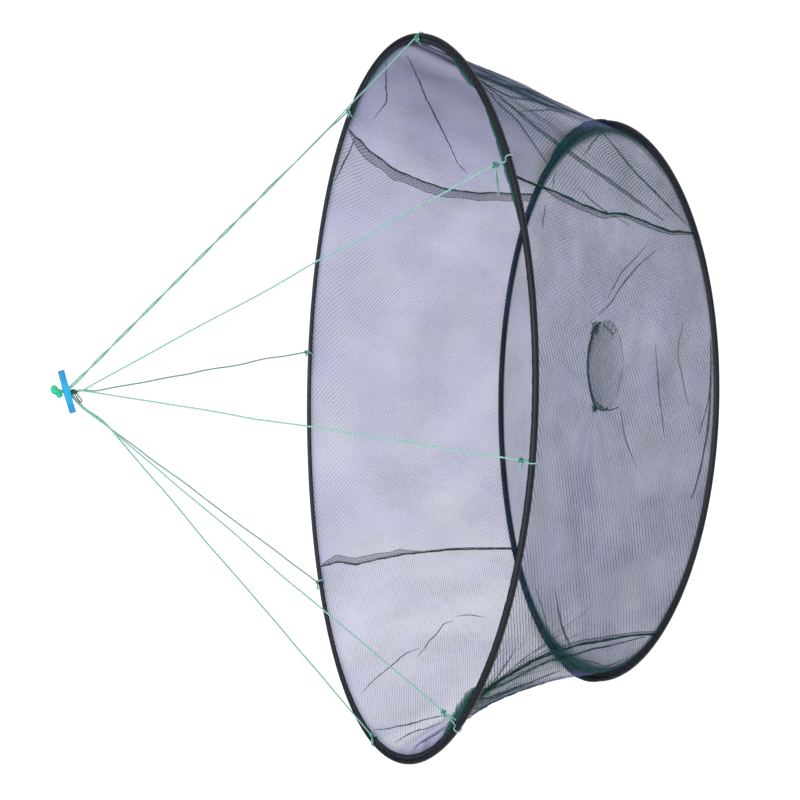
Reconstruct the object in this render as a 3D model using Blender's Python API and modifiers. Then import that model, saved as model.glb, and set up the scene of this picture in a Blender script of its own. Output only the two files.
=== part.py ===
"""Folding crab net: two sprung wire hoops with netting between them, hung on eight lines from a toggle bar.

Metres, +Z up, as the net hangs on its haul rope. The origin is the middle of the toggle bar.
Azimuths are in degrees, counterclockwise from +X seen from above. Heights of the hoops' own pieces
are measured from the empty that carries them, which stands on the net's axis in the hoop's plane.
"""

import math

import bmesh
import bpy
from mathutils import Matrix, Vector

# Overall sizes: the diameters are over the tape, and the drops run between the hoops' planes
MOUTH_DIAMETER = 0.800
BASE_DIAMETER = 0.632
BRIDLE_DROP = 0.371
BASKET_DEPTH = 0.226

# A coiled wire never opens into a true circle: it bulges at three places and is flatter between them
MOUTH_BULGE = 0.0074
BASE_BULGE = 0.0046
BULGE_AZIMUTH = 35.0
HOOP_SEGMENTS = 60

# Spring wire and the crimped ferrule over its two ends
WIRE_DIAMETER = 0.0028
WIRE_END_GAP = 0.0006
FERRULE_WALL = 0.0004
FERRULE_LENGTH = 0.014
CRIMP_CLEARANCE = 0.0002

# Tape folded over the wire, its two leaves holding the edge of the netting
TAPE_THICKNESS = 0.0007
LEAF_THICKNESS = 0.0008
MOUTH_LEAF_REACH = 0.0105
BASE_LEAF_REACH = 0.0082
CHANNEL_CLEARANCE = 0.0004
SEAT_GAP = 0.0003

# Netting: four wall panels, the doubled seams between them, and the base
NET_THICKNESS = 0.0005
SEAM_THICKNESS = 0.0009
SEAM_WIDTH = 0.010
SEAM_END_GAP = 0.006
SEAM_SIDE_GAP = 0.0005
TUCK_MARGIN = 0.0016
TURN_RADIUS = 0.0020
WAIST_MEAN = 0.010
WAIST_SWING = 0.011
WAIST_PEAK = 0.40
PANEL_COLUMNS = 12
WALL_ROWS = 6

# Bait pocket on the base, with the cord that closes it
POCKET_DIAMETER = 0.100
POCKET_HEIGHT = 0.012
POCKET_X = 0.038
POCKET_Y = -0.029
POCKET_CORD_DIAMETER = 0.0016
POCKET_TAIL = 0.024
POCKET_OPEN_AZIMUTH = 15.0

# Eight lines, tied to the mouth hoop by hand at these azimuths: every other one is tied over a seam
LINE_AZIMUTHS = (32.5, 81.5, 125.0, 165.5, 211.0, 261.0, 305.5, 353.5)
LINE_DIAMETER = 0.0015
LINE_SAG = 0.003
LINE_POINTS = 8
WRAP_CLEARANCE = 0.0006
KNOT_RADIUS = 0.0024
KNOT_TAIL = 0.012

# Hub: the knot that gathers the lines, the toggle bar, and the stopper knot over it
GATHER_RADIUS = 0.0035
TOGGLE_LENGTH = 0.046
TOGGLE_WIDTH = 0.0065
TOGGLE_THICKNESS = 0.004
TOGGLE_EDGE = 0.0007
TOGGLE_TILT = 20.0
STEM_DIAMETER = 0.003
STEM_CLEARANCE = 0.0004
STOPPER_LENGTH = 0.0146
STOPPER_WIDTH = 0.0084
STOPPER_THICKNESS = 0.0064
STOPPER_TILT = 40.0
STOPPER_GAP = 0.0009

WIRE_RADIUS = WIRE_DIAMETER / 2
FERRULE_BORE = WIRE_RADIUS + CRIMP_CLEARANCE
FERRULE_RADIUS = FERRULE_BORE + FERRULE_WALL
CHANNEL_RADIUS = FERRULE_RADIUS + CHANNEL_CLEARANCE
BEAD_RADIUS = CHANNEL_RADIUS + TAPE_THICKNESS
MOUTH_RADIUS = MOUTH_DIAMETER / 2 - BEAD_RADIUS
BASE_RADIUS = BASE_DIAMETER / 2 - BEAD_RADIUS
LINE_RADIUS = LINE_DIAMETER / 2
WRAP_OFFSET = LINE_RADIUS + WRAP_CLEARANCE
SEAM_AZIMUTHS = LINE_AZIMUTHS[::2]


def clear_scene():
    for thing in list(bpy.data.objects):
        bpy.data.objects.remove(thing)


def new_collection(name):
    collection = bpy.data.collections.new(name)
    bpy.context.scene.collection.children.link(collection)
    return collection


def new_material(name, colour, roughness, metallic=0.0):
    material = bpy.data.materials.new(name)
    material.use_nodes = True
    shader = material.node_tree.nodes["Principled BSDF"]
    shader.inputs["Base Color"].default_value = (*colour, 1.0)
    shader.inputs["Roughness"].default_value = roughness
    shader.inputs["Metallic"].default_value = metallic
    return material


clear_scene()
NET = new_collection("folding_crab_net")
HELPERS = new_collection("cutters")
HELPERS.hide_render = True

STEEL = new_material("spring_steel", (0.42, 0.43, 0.45), 0.35, 1.0)
CRIMP = new_material("crimped_brass", (0.62, 0.52, 0.28), 0.4, 1.0)
TAPE = new_material("black_tape", (0.025, 0.030, 0.032), 0.5)
NETTING = new_material("netting", (0.07, 0.12, 0.17), 0.7)
SEAM = new_material("seam_netting", (0.04, 0.08, 0.11), 0.7)
POCKET = new_material("pocket_netting", (0.08, 0.15, 0.19), 0.7)
THREAD = new_material("dark_thread", (0.02, 0.05, 0.06), 0.7)
LINE = new_material("mint_line", (0.22, 0.66, 0.48), 0.5)
STOPPER = new_material("green_cord", (0.01, 0.62, 0.33), 0.45)
BLUE = new_material("blue_plastic", (0.01, 0.38, 0.78), 0.35)


def place(thing, material, parent=None):
    """Links a piece into the net, with its own copy of the material, under the empty that carries it."""
    NET.objects.link(thing)
    if not thing.data.materials:
        thing.data.materials.append(material.copy())
        thing.data.materials[0].name = thing.name
    thing.parent = parent
    return thing


def new_helper(name, data):
    helper = bpy.data.objects.new(name, data)
    helper.hide_render = True
    helper.display_type = "WIRE"
    HELPERS.objects.link(helper)
    return helper


def new_carrier(name, z, parent=None):
    carrier = bpy.data.objects.new(name, None)
    carrier.location.z = z
    carrier.parent = parent
    NET.objects.link(carrier)
    return carrier


def new_poly_curve(name, points, cyclic=False, dimensions="3D"):
    curve = bpy.data.curves.new(name, "CURVE")
    curve.dimensions = dimensions
    spline = curve.splines.new("POLY")
    spline.points.add(len(points) - 1)
    for spot, point in zip(spline.points, points):
        spot.co = (*point, 1.0)
    spline.use_cyclic_u = cyclic
    return curve


def new_tube(name, points, radius, cyclic=False, sides=8):
    """A round cord or wire along the points, with flat ends unless it closes on itself."""
    curve = new_poly_curve(name, points, cyclic)
    curve.bevel_depth = radius
    curve.bevel_resolution = sides // 2 - 2
    curve.use_fill_caps = not cyclic
    return bpy.data.objects.new(name, curve)


def mesh_of(thing):
    """The mesh that the thing shows, with a curve's loose caps welded to its sides."""
    bpy.context.view_layer.update()
    graph = bpy.context.evaluated_depsgraph_get()
    mesh = bpy.data.meshes.new_from_object(thing.evaluated_get(graph))
    cage = bmesh.new()
    cage.from_mesh(mesh)
    bmesh.ops.remove_doubles(cage, verts=cage.verts, dist=1e-6)
    bmesh.ops.recalc_face_normals(cage, faces=cage.faces)
    cage.to_mesh(mesh)
    cage.free()
    return mesh


def mesh_from_cage(name, cage):
    mesh = bpy.data.meshes.new(name)
    cage.to_mesh(mesh)
    cage.free()
    return mesh


def shade_round(mesh):
    mesh.shade_smooth()
    mesh.set_sharp_from_angle(angle=math.radians(40))


def solidify(thing, thickness):
    shell = thing.modifiers.new("thickness", "SOLIDIFY")
    shell.thickness = thickness
    shell.offset = 0.0


def subtract(thing, cutter):
    hole = thing.modifiers.new("hole", "BOOLEAN")
    hole.operation = "DIFFERENCE"
    hole.object = cutter


def join(thing, other):
    union = thing.modifiers.new("joined", "BOOLEAN")
    union.operation = "UNION"
    union.object = other


def spot_at(radius, azimuth, z=0.0):
    turn = math.radians(azimuth)
    return Vector((radius * math.cos(turn), radius * math.sin(turn), z))


def hoop_radius(mean, bulge, azimuth):
    return mean + bulge * math.cos(math.radians(3 * (azimuth - BULGE_AZIMUTH)))


def mouth_radius(azimuth):
    return hoop_radius(MOUTH_RADIUS, MOUTH_BULGE, azimuth)


def base_radius(azimuth):
    return hoop_radius(BASE_RADIUS, BASE_BULGE, azimuth)


def hoop_points(radius_at):
    step = 360 / HOOP_SEGMENTS
    azimuths = [(number + 0.5) * step for number in range(HOOP_SEGMENTS)]
    return [spot_at(radius_at(azimuth), azimuth) for azimuth in azimuths]


def mouth_frame(azimuth):
    """The mouth hoop's own axes at an azimuth: its straight stretch there, with +X outwards and +Z up."""
    step = 360 / HOOP_SEGMENTS
    before = (math.floor(azimuth / step - 0.5) + 0.5) * step
    start = spot_at(mouth_radius(before), before)
    end = spot_at(mouth_radius(before + step), before + step)
    spot = start.lerp(end, (azimuth - before) / step)
    outwards = math.atan2(start.x - end.x, end.y - start.y)
    return Matrix.Translation(spot) @ Matrix.Rotation(outwards, 4, "Z")


def slit_of(layers):
    return layers * NET_THICKNESS + (layers + 1) * SEAT_GAP


def arc(radius, first, last, count):
    step = (last - first) / max(count - 1, 1)
    turns = [math.radians(first + step * number) for number in range(count)]
    return [(radius * math.cos(turn), radius * math.sin(turn)) for turn in turns]


def tape_section(reach, layers):
    """The folded tape in section, outwards and upwards from the wire: a bead with two leaves inwards.

    The bead is an octagon lying on one of its flats, which is the flat that the base hoop rests on.
    """
    slit = slit_of(layers) / 2
    face = slit + LEAF_THICKNESS
    corner = BEAD_RADIUS / math.cos(math.pi / 8)
    meets_leaf = 180 - math.degrees(math.asin(face / corner))
    bead = arc(corner, 112.5, -112.5, 6)
    inner = 180 - math.degrees(math.asin(slit / CHANNEL_RADIUS))
    channel = arc(CHANNEL_RADIUS, -inner, inner, 7)
    upper_leaf = [(-reach, slit), (-reach, face), *arc(corner, meets_leaf, meets_leaf, 1)]
    lower_leaf = [(out, -up) for out, up in reversed(upper_leaf)]
    return [*bead, *lower_leaf, *channel, *upper_leaf]


def make_hoop(name, radius_at, reach, layers, carrier):
    """Spring wire with its ends in a ferrule, inside a folded tape."""
    points = hoop_points(radius_at)
    meeting = (points[0] + points[-1]) / 2
    along = (points[0] - points[-1]).normalized()
    half_gap = along * WIRE_END_GAP / 2
    wire_path = [meeting + half_gap, *points, meeting - half_gap]
    place(new_tube(name + "_wire", wire_path, WIRE_RADIUS, sides=6), STEEL, carrier)

    crimp = bmesh.new()
    bmesh.ops.create_circle(crimp, segments=12, radius=(FERRULE_BORE + FERRULE_RADIUS) / 2)
    sleeve = bmesh.ops.extrude_edge_only(crimp, edges=crimp.edges[:])
    top = [part for part in sleeve["geom"] if isinstance(part, bmesh.types.BMVert)]
    bmesh.ops.translate(crimp, verts=top, vec=(0, 0, FERRULE_LENGTH))
    bmesh.ops.translate(crimp, verts=crimp.verts, vec=(0, 0, -FERRULE_LENGTH / 2))
    bmesh.ops.recalc_face_normals(crimp, faces=crimp.faces)
    ferrule = bpy.data.objects.new(name + "_ferrule", mesh_from_cage(name + "_ferrule", crimp))
    solidify(ferrule, FERRULE_WALL)
    ferrule.modifiers["thickness"].use_even_offset = True
    ferrule.location = meeting
    ferrule.rotation_euler = along.to_track_quat("Z", "X").to_euler()
    place(ferrule, CRIMP, carrier)

    outline = [(out, up, 0.0) for out, up in tape_section(reach, layers)]
    section = new_helper(name + "_tape_section", new_poly_curve(name + "_tape_section", outline, True, "2D"))
    curve = new_poly_curve(name + "_tape", points, cyclic=True)
    curve.bevel_mode = "OBJECT"
    curve.bevel_object = section
    place(bpy.data.objects.new(name + "_tape", curve), TAPE, carrier)


def waist(azimuth, fraction):
    """How far the slack netting draws in, most where the wall faces -X, and nothing at either hoop."""
    depth = WAIST_MEAN - WAIST_SWING * math.cos(math.radians(azimuth))
    if fraction < WAIST_PEAK:
        return depth * math.sin(math.pi / 2 * fraction / WAIST_PEAK)
    return depth * math.cos(math.pi / 2 * (fraction - WAIST_PEAK) / (1 - WAIST_PEAK))


def mouth_turn(azimuth):
    """Radius at which the netting comes out of the mouth tape and turns down."""
    return mouth_radius(azimuth) - MOUTH_LEAF_REACH - TURN_RADIUS


def base_turn(azimuth):
    return base_radius(azimuth) - BASE_LEAF_REACH - TURN_RADIUS


def wall_spot(azimuth, fraction):
    """A place on the wall, at a fraction of the way from the mouth hoop down to the base hoop."""
    straight = mouth_turn(azimuth) * (1 - fraction) + base_turn(azimuth) * fraction
    return spot_at(straight - waist(azimuth, fraction), azimuth, -BASKET_DEPTH * fraction)


def wall_fractions(margin):
    first = margin / BASKET_DEPTH
    step = (1 - 2 * first) / WALL_ROWS
    return [first + step * row for row in range(WALL_ROWS + 1)]


def base_layer(number):
    """Height of one layer of netting in the base tape, above the base hoop's plane."""
    return number * (NET_THICKNESS + SEAT_GAP) / 2


def panel_rows(azimuth):
    """The wall panel from its edge in the mouth tape, down the wall, to its edge in the base tape."""
    tuck = CHANNEL_RADIUS + TUCK_MARGIN
    low = -BASKET_DEPTH + base_layer(1)
    return [
        spot_at(mouth_radius(azimuth) - tuck, azimuth),
        spot_at(mouth_turn(azimuth) + TURN_RADIUS * 0.75, azimuth),
        *[wall_spot(azimuth, fraction) for fraction in wall_fractions(TURN_RADIUS * 1.25)],
        spot_at(base_turn(azimuth) + TURN_RADIUS * 0.75, azimuth, low),
        spot_at(base_radius(azimuth) - tuck, azimuth, low),
    ]


def side_turn(width, spot):
    """The angle that a width takes up on the wall at that spot."""
    return math.degrees(width / spot.xy.length)


def new_sheet(name, columns, rows, spot_for):
    """A sheet of netting: a flat grid with each of its points carried to its own place."""
    cage = bmesh.new()
    bmesh.ops.create_grid(cage, x_segments=columns, y_segments=rows, size=0.5)
    for point in cage.verts:
        column = round((point.co.x + 0.5) * columns)
        row = round((0.5 - point.co.y) * rows)
        point.co = spot_for(column / columns, row)
    bmesh.ops.recalc_face_normals(cage, faces=cage.faces)
    mesh = mesh_from_cage(name, cage)
    mesh.shade_smooth()
    return bpy.data.objects.new(name, mesh)


def make_wall_panel(number, carrier):
    start = SEAM_AZIMUTHS[number]
    end = SEAM_AZIMUTHS[(number + 1) % len(SEAM_AZIMUTHS)]
    span = (end - start) % 360
    count = len(panel_rows(start))

    def panel_spot(across, row):
        side = SEAM_WIDTH / 2 + SEAM_SIDE_GAP
        first = start + side_turn(side, panel_rows(start)[row])
        last = start + span - side_turn(side, panel_rows(end)[row])
        return panel_rows(first + (last - first) * across)[row]

    name = f"wall_panel_{number + 1}"
    panel = new_sheet(name, PANEL_COLUMNS, count - 1, panel_spot)
    solidify(panel, NET_THICKNESS)
    pierced = LINE_AZIMUTHS[2 * number + 1]
    subtract(panel, make_line_hole(name + "_line_hole", pierced, carrier))
    place(panel, NETTING, carrier)


def make_line_hole(name, azimuth, carrier):
    """Where a line's wrap goes through the netting at the inner edge of the mouth tape."""
    cage = bmesh.new()
    depth = 2 * (slit_of(1) / 2 + LEAF_THICKNESS + 2 * WRAP_OFFSET)
    radius = LINE_RADIUS + 2 * SEAT_GAP
    bmesh.ops.create_cone(cage, cap_ends=True, segments=12, radius1=radius, radius2=radius, depth=depth)
    cutter = new_helper(name, mesh_from_cage(name, cage))
    cutter.location = mouth_frame(azimuth) @ Vector((-MOUTH_LEAF_REACH - WRAP_OFFSET, 0.0, 0.0))
    cutter.parent = carrier
    return cutter


def make_wall_seam(number, carrier):
    azimuth = SEAM_AZIMUTHS[number]
    fractions = wall_fractions(SEAM_END_GAP)

    def seam_spot(across, row):
        centre = wall_spot(azimuth, fractions[row])
        return wall_spot(azimuth + side_turn(SEAM_WIDTH, centre) * (across - 0.5), fractions[row])

    seam = new_sheet(f"wall_seam_{number + 1}", 2, WALL_ROWS, seam_spot)
    solidify(seam, SEAM_THICKNESS)
    place(seam, SEAM, carrier)


def make_base_panel(carrier):
    cage = bmesh.new()
    bmesh.ops.create_circle(cage, cap_ends=True, segments=HOOP_SEGMENTS, radius=1.0)
    for point in cage.verts:
        azimuth = math.degrees(math.atan2(point.co.y, point.co.x))
        reach = base_radius(azimuth) - CHANNEL_RADIUS - TUCK_MARGIN
        point.co = spot_at(reach, azimuth, base_layer(-1))
    panel = bpy.data.objects.new("base_panel", mesh_from_cage("base_panel", cage))
    solidify(panel, NET_THICKNESS)
    place(panel, NETTING, carrier)


def make_bait_pocket(carrier):
    """A slack round of netting sewn to the base, with its closing cord round the edge."""
    floor = base_layer(-1) + NET_THICKNESS / 2 + SEAT_GAP
    radius = POCKET_DIAMETER / 2
    rings = 5
    turns = [math.pi / 2 * ring / rings for ring in range(rings + 1)]
    profile = [(radius * math.sin(turn), 0.0, POCKET_HEIGHT * math.cos(turn) ** 2) for turn in turns]
    outline = bpy.data.meshes.new("bait_pocket")
    outline.from_pydata(profile, [(ring, ring + 1) for ring in range(rings)], [])
    pocket = bpy.data.objects.new("bait_pocket", outline)
    turned = pocket.modifiers.new("turned", "SCREW")
    turned.steps = turned.render_steps = 24
    turned.use_merge_vertices = True
    turned.merge_threshold = 0.0001
    solidify(pocket, NET_THICKNESS)
    pocket.location = (POCKET_X, POCKET_Y, floor + NET_THICKNESS / 2)
    place(pocket, POCKET, carrier)

    ring = radius + NET_THICKNESS + POCKET_CORD_DIAMETER / 2
    half_gap = math.degrees(2 * POCKET_CORD_DIAMETER / ring)
    height = floor + POCKET_CORD_DIAMETER / 2
    count = 26
    first = POCKET_OPEN_AZIMUTH + half_gap
    step = (360 - 2 * half_gap) / (count - 1)
    path = [spot_at(ring, first + step * number, height) for number in range(count)]
    outwards = spot_at(POCKET_TAIL, POCKET_OPEN_AZIMUTH)
    path = [path[0] + outwards, *path, path[-1] + outwards]
    cord = new_tube("pocket_drawcord", path, POCKET_CORD_DIAMETER / 2, sides=6)
    cord.location = (POCKET_X, POCKET_Y, 0.0)
    place(cord, THREAD, carrier)


def knot_centre():
    """Where the knot sits, outwards and upwards from the wire: over the inner edge of the mouth tape."""
    rise = slit_of(1) / 2 + LEAF_THICKNESS + SEAT_GAP + KNOT_RADIUS
    return Vector((-MOUTH_LEAF_REACH - WRAP_OFFSET, 0.0, rise))


def wrap_path():
    """One turn of line round the mouth tape, a clearance away from it."""
    face = slit_of(1) / 2 + LEAF_THICKNESS
    over_bead = arc(BEAD_RADIUS + WRAP_OFFSET, -90, 90, 6)
    over_leaf = [(out - MOUTH_LEAF_REACH, up + face) for out, up in arc(WRAP_OFFSET, 90, 180, 3)]
    under_leaf = [(out, -up) for out, up in reversed(over_leaf)]
    return [Vector((out, 0.0, up)) for out, up in [*over_bead, *over_leaf, *under_leaf]]


def knot_mesh():
    """The wrap, the knot and its tail, in one body: +X outwards, +Z up, from the wire."""
    wrap_tube = new_tube("knot_wrap", wrap_path(), LINE_RADIUS, cyclic=True, sides=6)
    HELPERS.objects.link(wrap_tube)
    wrap = new_helper("knot_wrap_mesh", mesh_of(wrap_tube))
    bpy.data.objects.remove(wrap_tube)

    ball = bmesh.new()
    bmesh.ops.create_icosphere(ball, subdivisions=2, radius=KNOT_RADIUS)
    bmesh.ops.translate(ball, verts=ball.verts, vec=knot_centre())
    join(wrap, new_helper("knot_ball", mesh_from_cage("knot_ball", ball)))

    direction = Vector((-0.30, 0.85, 0.45)).normalized()
    tail = bmesh.new()
    bmesh.ops.create_cone(
        tail, cap_ends=True, segments=6, radius1=LINE_RADIUS, radius2=LINE_RADIUS, depth=KNOT_TAIL
    )
    turn = direction.to_track_quat("Z", "X").to_matrix().to_4x4()
    middle = Matrix.Translation(knot_centre() + direction * KNOT_TAIL / 2)
    bmesh.ops.transform(tail, matrix=middle @ turn, verts=tail.verts)
    join(wrap, new_helper("knot_tail", mesh_from_cage("knot_tail", tail)))
    mesh = mesh_of(wrap)
    shade_round(mesh)
    return mesh


def make_line_knots(carrier):
    mesh = knot_mesh()
    for number, azimuth in enumerate(LINE_AZIMUTHS):
        knot = bpy.data.objects.new(f"line_knot_{number + 1}", mesh)
        knot.location = mouth_frame(azimuth).translation
        knot.rotation_euler = mouth_frame(azimuth).to_euler()
        place(knot, LINE, carrier)


def gather_height():
    """Height of the gathering knot's centre, close under the tilted toggle bar."""
    return -(TOGGLE_THICKNESS / 2 + SEAT_GAP + GATHER_RADIUS) / math.cos(math.radians(TOGGLE_TILT))


def make_bridle_line(number):
    azimuth = LINE_AZIMUTHS[number]
    top = Vector((0.0, 0.0, gather_height()))
    foot = mouth_frame(azimuth) @ knot_centre() - Vector((0.0, 0.0, BRIDLE_DROP))
    along = (foot - top).normalized()
    start = top + along * (GATHER_RADIUS + SEAT_GAP)
    end = foot - along * (KNOT_RADIUS + SEAT_GAP)
    path = []
    for step in range(LINE_POINTS):
        fraction = step / (LINE_POINTS - 1)
        sag = Vector((0.0, 0.0, -LINE_SAG * math.sin(math.pi * fraction)))
        path.append(start.lerp(end, fraction) + sag)
    place(new_tube(f"bridle_line_{number + 1}", path, LINE_RADIUS), LINE)


def make_gather_knot():
    cage = bmesh.new()
    bmesh.ops.create_icosphere(cage, subdivisions=2, radius=GATHER_RADIUS)
    mesh = mesh_from_cage("gather_knot", cage)
    shade_round(mesh)
    knot = bpy.data.objects.new("gather_knot", mesh)
    knot.location.z = gather_height()
    place(knot, LINE)


def stopper_height():
    """Height of the stopper's middle, clear of the tilted bar whichever way the bar has swung."""
    tilt = math.radians(STOPPER_TILT)
    half_height = math.hypot(STOPPER_LENGTH * math.cos(tilt), STOPPER_WIDTH * math.sin(tilt)) / 2
    half_spread = math.hypot(STOPPER_LENGTH * math.sin(tilt), STOPPER_WIDTH * math.cos(tilt)) / 2
    slope = math.radians(TOGGLE_TILT)
    bar_top = TOGGLE_THICKNESS / 2 / math.cos(slope) + half_spread * math.tan(slope)
    return bar_top + STOPPER_GAP + half_height


def make_stopper_knot():
    """The flattened knot over the toggle bar, and the stem that goes down through the bar to the lines."""
    tilt = Matrix.Rotation(math.radians(STOPPER_TILT), 4, "Y")
    size = Matrix.Diagonal((STOPPER_WIDTH, STOPPER_THICKNESS, STOPPER_LENGTH, 1.0))
    head = bmesh.new()
    bmesh.ops.create_uvsphere(head, u_segments=12, v_segments=8, radius=0.5)
    bmesh.ops.transform(head, matrix=tilt @ size, verts=head.verts)
    bmesh.ops.translate(head, verts=head.verts, vec=(0, 0, stopper_height()))
    mesh = mesh_from_cage("stopper_knot", head)
    shade_round(mesh)
    knot = bpy.data.objects.new("stopper_knot", mesh)

    low = gather_height() + GATHER_RADIUS + SEAT_GAP
    length = stopper_height() - low
    radius = STEM_DIAMETER / 2
    stem = bmesh.new()
    bmesh.ops.create_cone(stem, cap_ends=True, segments=10, radius1=radius, radius2=radius, depth=length)
    bmesh.ops.translate(stem, verts=stem.verts, vec=(0, 0, low + length / 2))
    join(knot, new_helper("stopper_stem", mesh_from_cage("stopper_stem", stem)))
    place(knot, STOPPER)


def make_toggle_bar():
    cage = bmesh.new()
    bmesh.ops.create_cube(cage, size=1.0)
    size = Matrix.Diagonal((TOGGLE_LENGTH, TOGGLE_WIDTH, TOGGLE_THICKNESS, 1.0))
    bmesh.ops.transform(cage, matrix=size, verts=cage.verts)
    bar = bpy.data.objects.new("toggle_bar", mesh_from_cage("toggle_bar", cage))
    bar.rotation_euler.y = -math.radians(TOGGLE_TILT)
    edges = bar.modifiers.new("eased_edges", "BEVEL")
    edges.width = TOGGLE_EDGE
    edges.segments = 2

    drill = bmesh.new()
    radius = STEM_DIAMETER / 2 + STEM_CLEARANCE
    bmesh.ops.create_cone(
        drill, cap_ends=True, segments=16, radius1=radius, radius2=radius, depth=4 * TOGGLE_THICKNESS
    )
    subtract(bar, new_helper("toggle_hole", mesh_from_cage("toggle_hole", drill)))
    place(bar, BLUE)


def build_net():
    mouth = new_carrier("mouth_hoop_plane", -BRIDLE_DROP)
    base = new_carrier("base_hoop_plane", -BASKET_DEPTH, mouth)
    make_hoop("mouth_hoop", mouth_radius, MOUTH_LEAF_REACH, 1, mouth)
    make_hoop("base_hoop", base_radius, BASE_LEAF_REACH, 2, base)
    for number in range(len(SEAM_AZIMUTHS)):
        make_wall_panel(number, mouth)
        make_wall_seam(number, mouth)
    make_base_panel(base)
    make_bait_pocket(base)
    make_line_knots(mouth)
    make_gather_knot()
    make_stopper_knot()
    make_toggle_bar()
    for number in range(len(LINE_AZIMUTHS)):
        make_bridle_line(number)


build_net()
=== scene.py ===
"""Folding crab net: the binding, netting, seams, lines and knots, built round the net's fixed frame.

Metres, +Z up, in the frame's own axes. Azimuths are in degrees, counterclockwise from +X seen from above.
A fraction runs down the netting wall, from 0 at the mouth hoop to 1 at the base hoop.
"""

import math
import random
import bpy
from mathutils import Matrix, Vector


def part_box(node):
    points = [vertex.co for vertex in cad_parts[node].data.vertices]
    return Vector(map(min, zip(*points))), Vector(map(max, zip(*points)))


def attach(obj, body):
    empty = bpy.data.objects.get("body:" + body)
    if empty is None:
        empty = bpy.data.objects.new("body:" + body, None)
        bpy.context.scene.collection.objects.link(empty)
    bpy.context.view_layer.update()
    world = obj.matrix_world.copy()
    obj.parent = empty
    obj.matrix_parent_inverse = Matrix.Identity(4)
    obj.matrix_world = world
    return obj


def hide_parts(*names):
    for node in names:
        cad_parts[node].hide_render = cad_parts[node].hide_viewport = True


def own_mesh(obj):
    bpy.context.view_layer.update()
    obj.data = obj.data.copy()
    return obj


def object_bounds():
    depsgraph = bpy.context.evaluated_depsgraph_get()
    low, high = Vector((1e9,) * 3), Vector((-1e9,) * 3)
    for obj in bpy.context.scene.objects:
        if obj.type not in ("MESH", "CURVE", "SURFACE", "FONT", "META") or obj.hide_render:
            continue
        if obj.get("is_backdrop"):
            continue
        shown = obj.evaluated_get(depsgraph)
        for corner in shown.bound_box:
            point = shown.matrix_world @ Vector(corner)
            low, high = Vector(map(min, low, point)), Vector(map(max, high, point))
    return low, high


bl_info = {
    "name": "Folding Crab Net",
    "version": (1, 0, 0),
    "blender": (4, 5, 0),
    "location": "View3D > Sidebar > Crab Net",
    "description": "Builds the netting, binding, lines and knots of a folding crab net round its frame",
    "category": "Add Mesh",
}

import bmesh
import bpy
import numpy as np
from mathutils import Matrix, Vector, noise

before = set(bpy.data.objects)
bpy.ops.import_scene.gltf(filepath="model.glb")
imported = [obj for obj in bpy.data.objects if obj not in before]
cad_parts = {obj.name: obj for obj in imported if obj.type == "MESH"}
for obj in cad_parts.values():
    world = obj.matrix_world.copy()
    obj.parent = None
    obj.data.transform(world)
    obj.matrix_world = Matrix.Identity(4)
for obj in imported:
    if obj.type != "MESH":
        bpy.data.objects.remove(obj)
CAD_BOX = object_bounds()


def hoop_line(node):
    """A hoop's centre line, read from its wire: height, mean radius, and its bulge at three places round."""
    points = np.array([point.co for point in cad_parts[node].data.vertices])
    triple = 3 * np.arctan2(points[:, 1], points[:, 0])
    terms = np.stack([np.ones(len(points)), np.cos(triple), np.sin(triple)], axis=1)
    mean, cos, sin = np.linalg.lstsq(terms, np.hypot(points[:, 0], points[:, 1]), rcond=None)[0]
    return {"z": float(points[:, 2].mean()), "mean": float(mean), "cos": float(cos), "sin": float(sin)}


def half_height(node):
    low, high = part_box(node)
    return (high.z - low.z) / 2


MOUTH = hoop_line("mouth_hoop_wire")
BASE = hoop_line("base_hoop_wire")
DEPTH = MOUTH["z"] - BASE["z"]
# The tape lies closer round its wire than the frame's plain bead does
BEAD_RADIUS = 0.86 * half_height("mouth_hoop_tape")

# Where the lines are tied to the mouth hoop; a seam runs down beside every other one of them
LINE_AZIMUTHS = (32.5, 81.5, 125.0, 166.8, 209.8, 261.0, 305.5, 353.5)
LINE_COUNT = len(LINE_AZIMUTHS)
PANEL_COUNT = 4

# How each seam wanders on its way down, as azimuths at fractions of the way
SEAM_PATHS = (
    (
        (0.0, 35.6), (0.06, 37.0), (0.15, 39.2), (0.30, 41.5),
        (0.52, 42.2), (0.68, 41.2), (0.85, 39.0), (1.0, 37.0),
    ),
    ((0.0, 122.5), (0.08, 122.6), (0.18, 124.2), (0.39, 124.3), (0.60, 125.0), (1.0, 126.8)),
    ((0.0, 211.0), (0.06, 215.5), (0.21, 216.0), (0.45, 216.5), (0.77, 215.8), (1.0, 214.8)),
    ((0.0, 303.2), (0.23, 302.8), (0.48, 301.8), (0.62, 303.0), (0.85, 302.2), (1.0, 303.5)),
)


# How far the net's near and far halves blend into each other, as a sine of the azimuth
TONE_BLEND = 0.33


def spot(radius, azimuth, z):
    """The place at that distance from the net's axis, azimuth and height."""
    turn = math.radians(azimuth)
    return Vector((radius * math.cos(turn), radius * math.sin(turn), z))


def hoop_radius(hoop, azimuth):
    """How far a hoop's wire is from the net's axis at an azimuth."""
    triple = math.radians(3 * azimuth)
    return hoop["mean"] + hoop["cos"] * math.cos(triple) + hoop["sin"] * math.sin(triple)


def lerp(low, high, share):
    return low + (high - low) * share


def smoothed(share):
    """The same share of the way, but slow at both ends."""
    return share * share * (3 - 2 * share)


def bump(value, centre, width):
    """A smooth hump of height 1 about a centre; azimuths wrap round."""
    away = (value - centre + 180) % 360 - 180
    return math.exp(-((away / width) ** 2))


def stray(x, y, seed):
    """Smooth noise between about -1 and 1."""
    return noise.noise(Vector((x, y, seed)))


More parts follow.
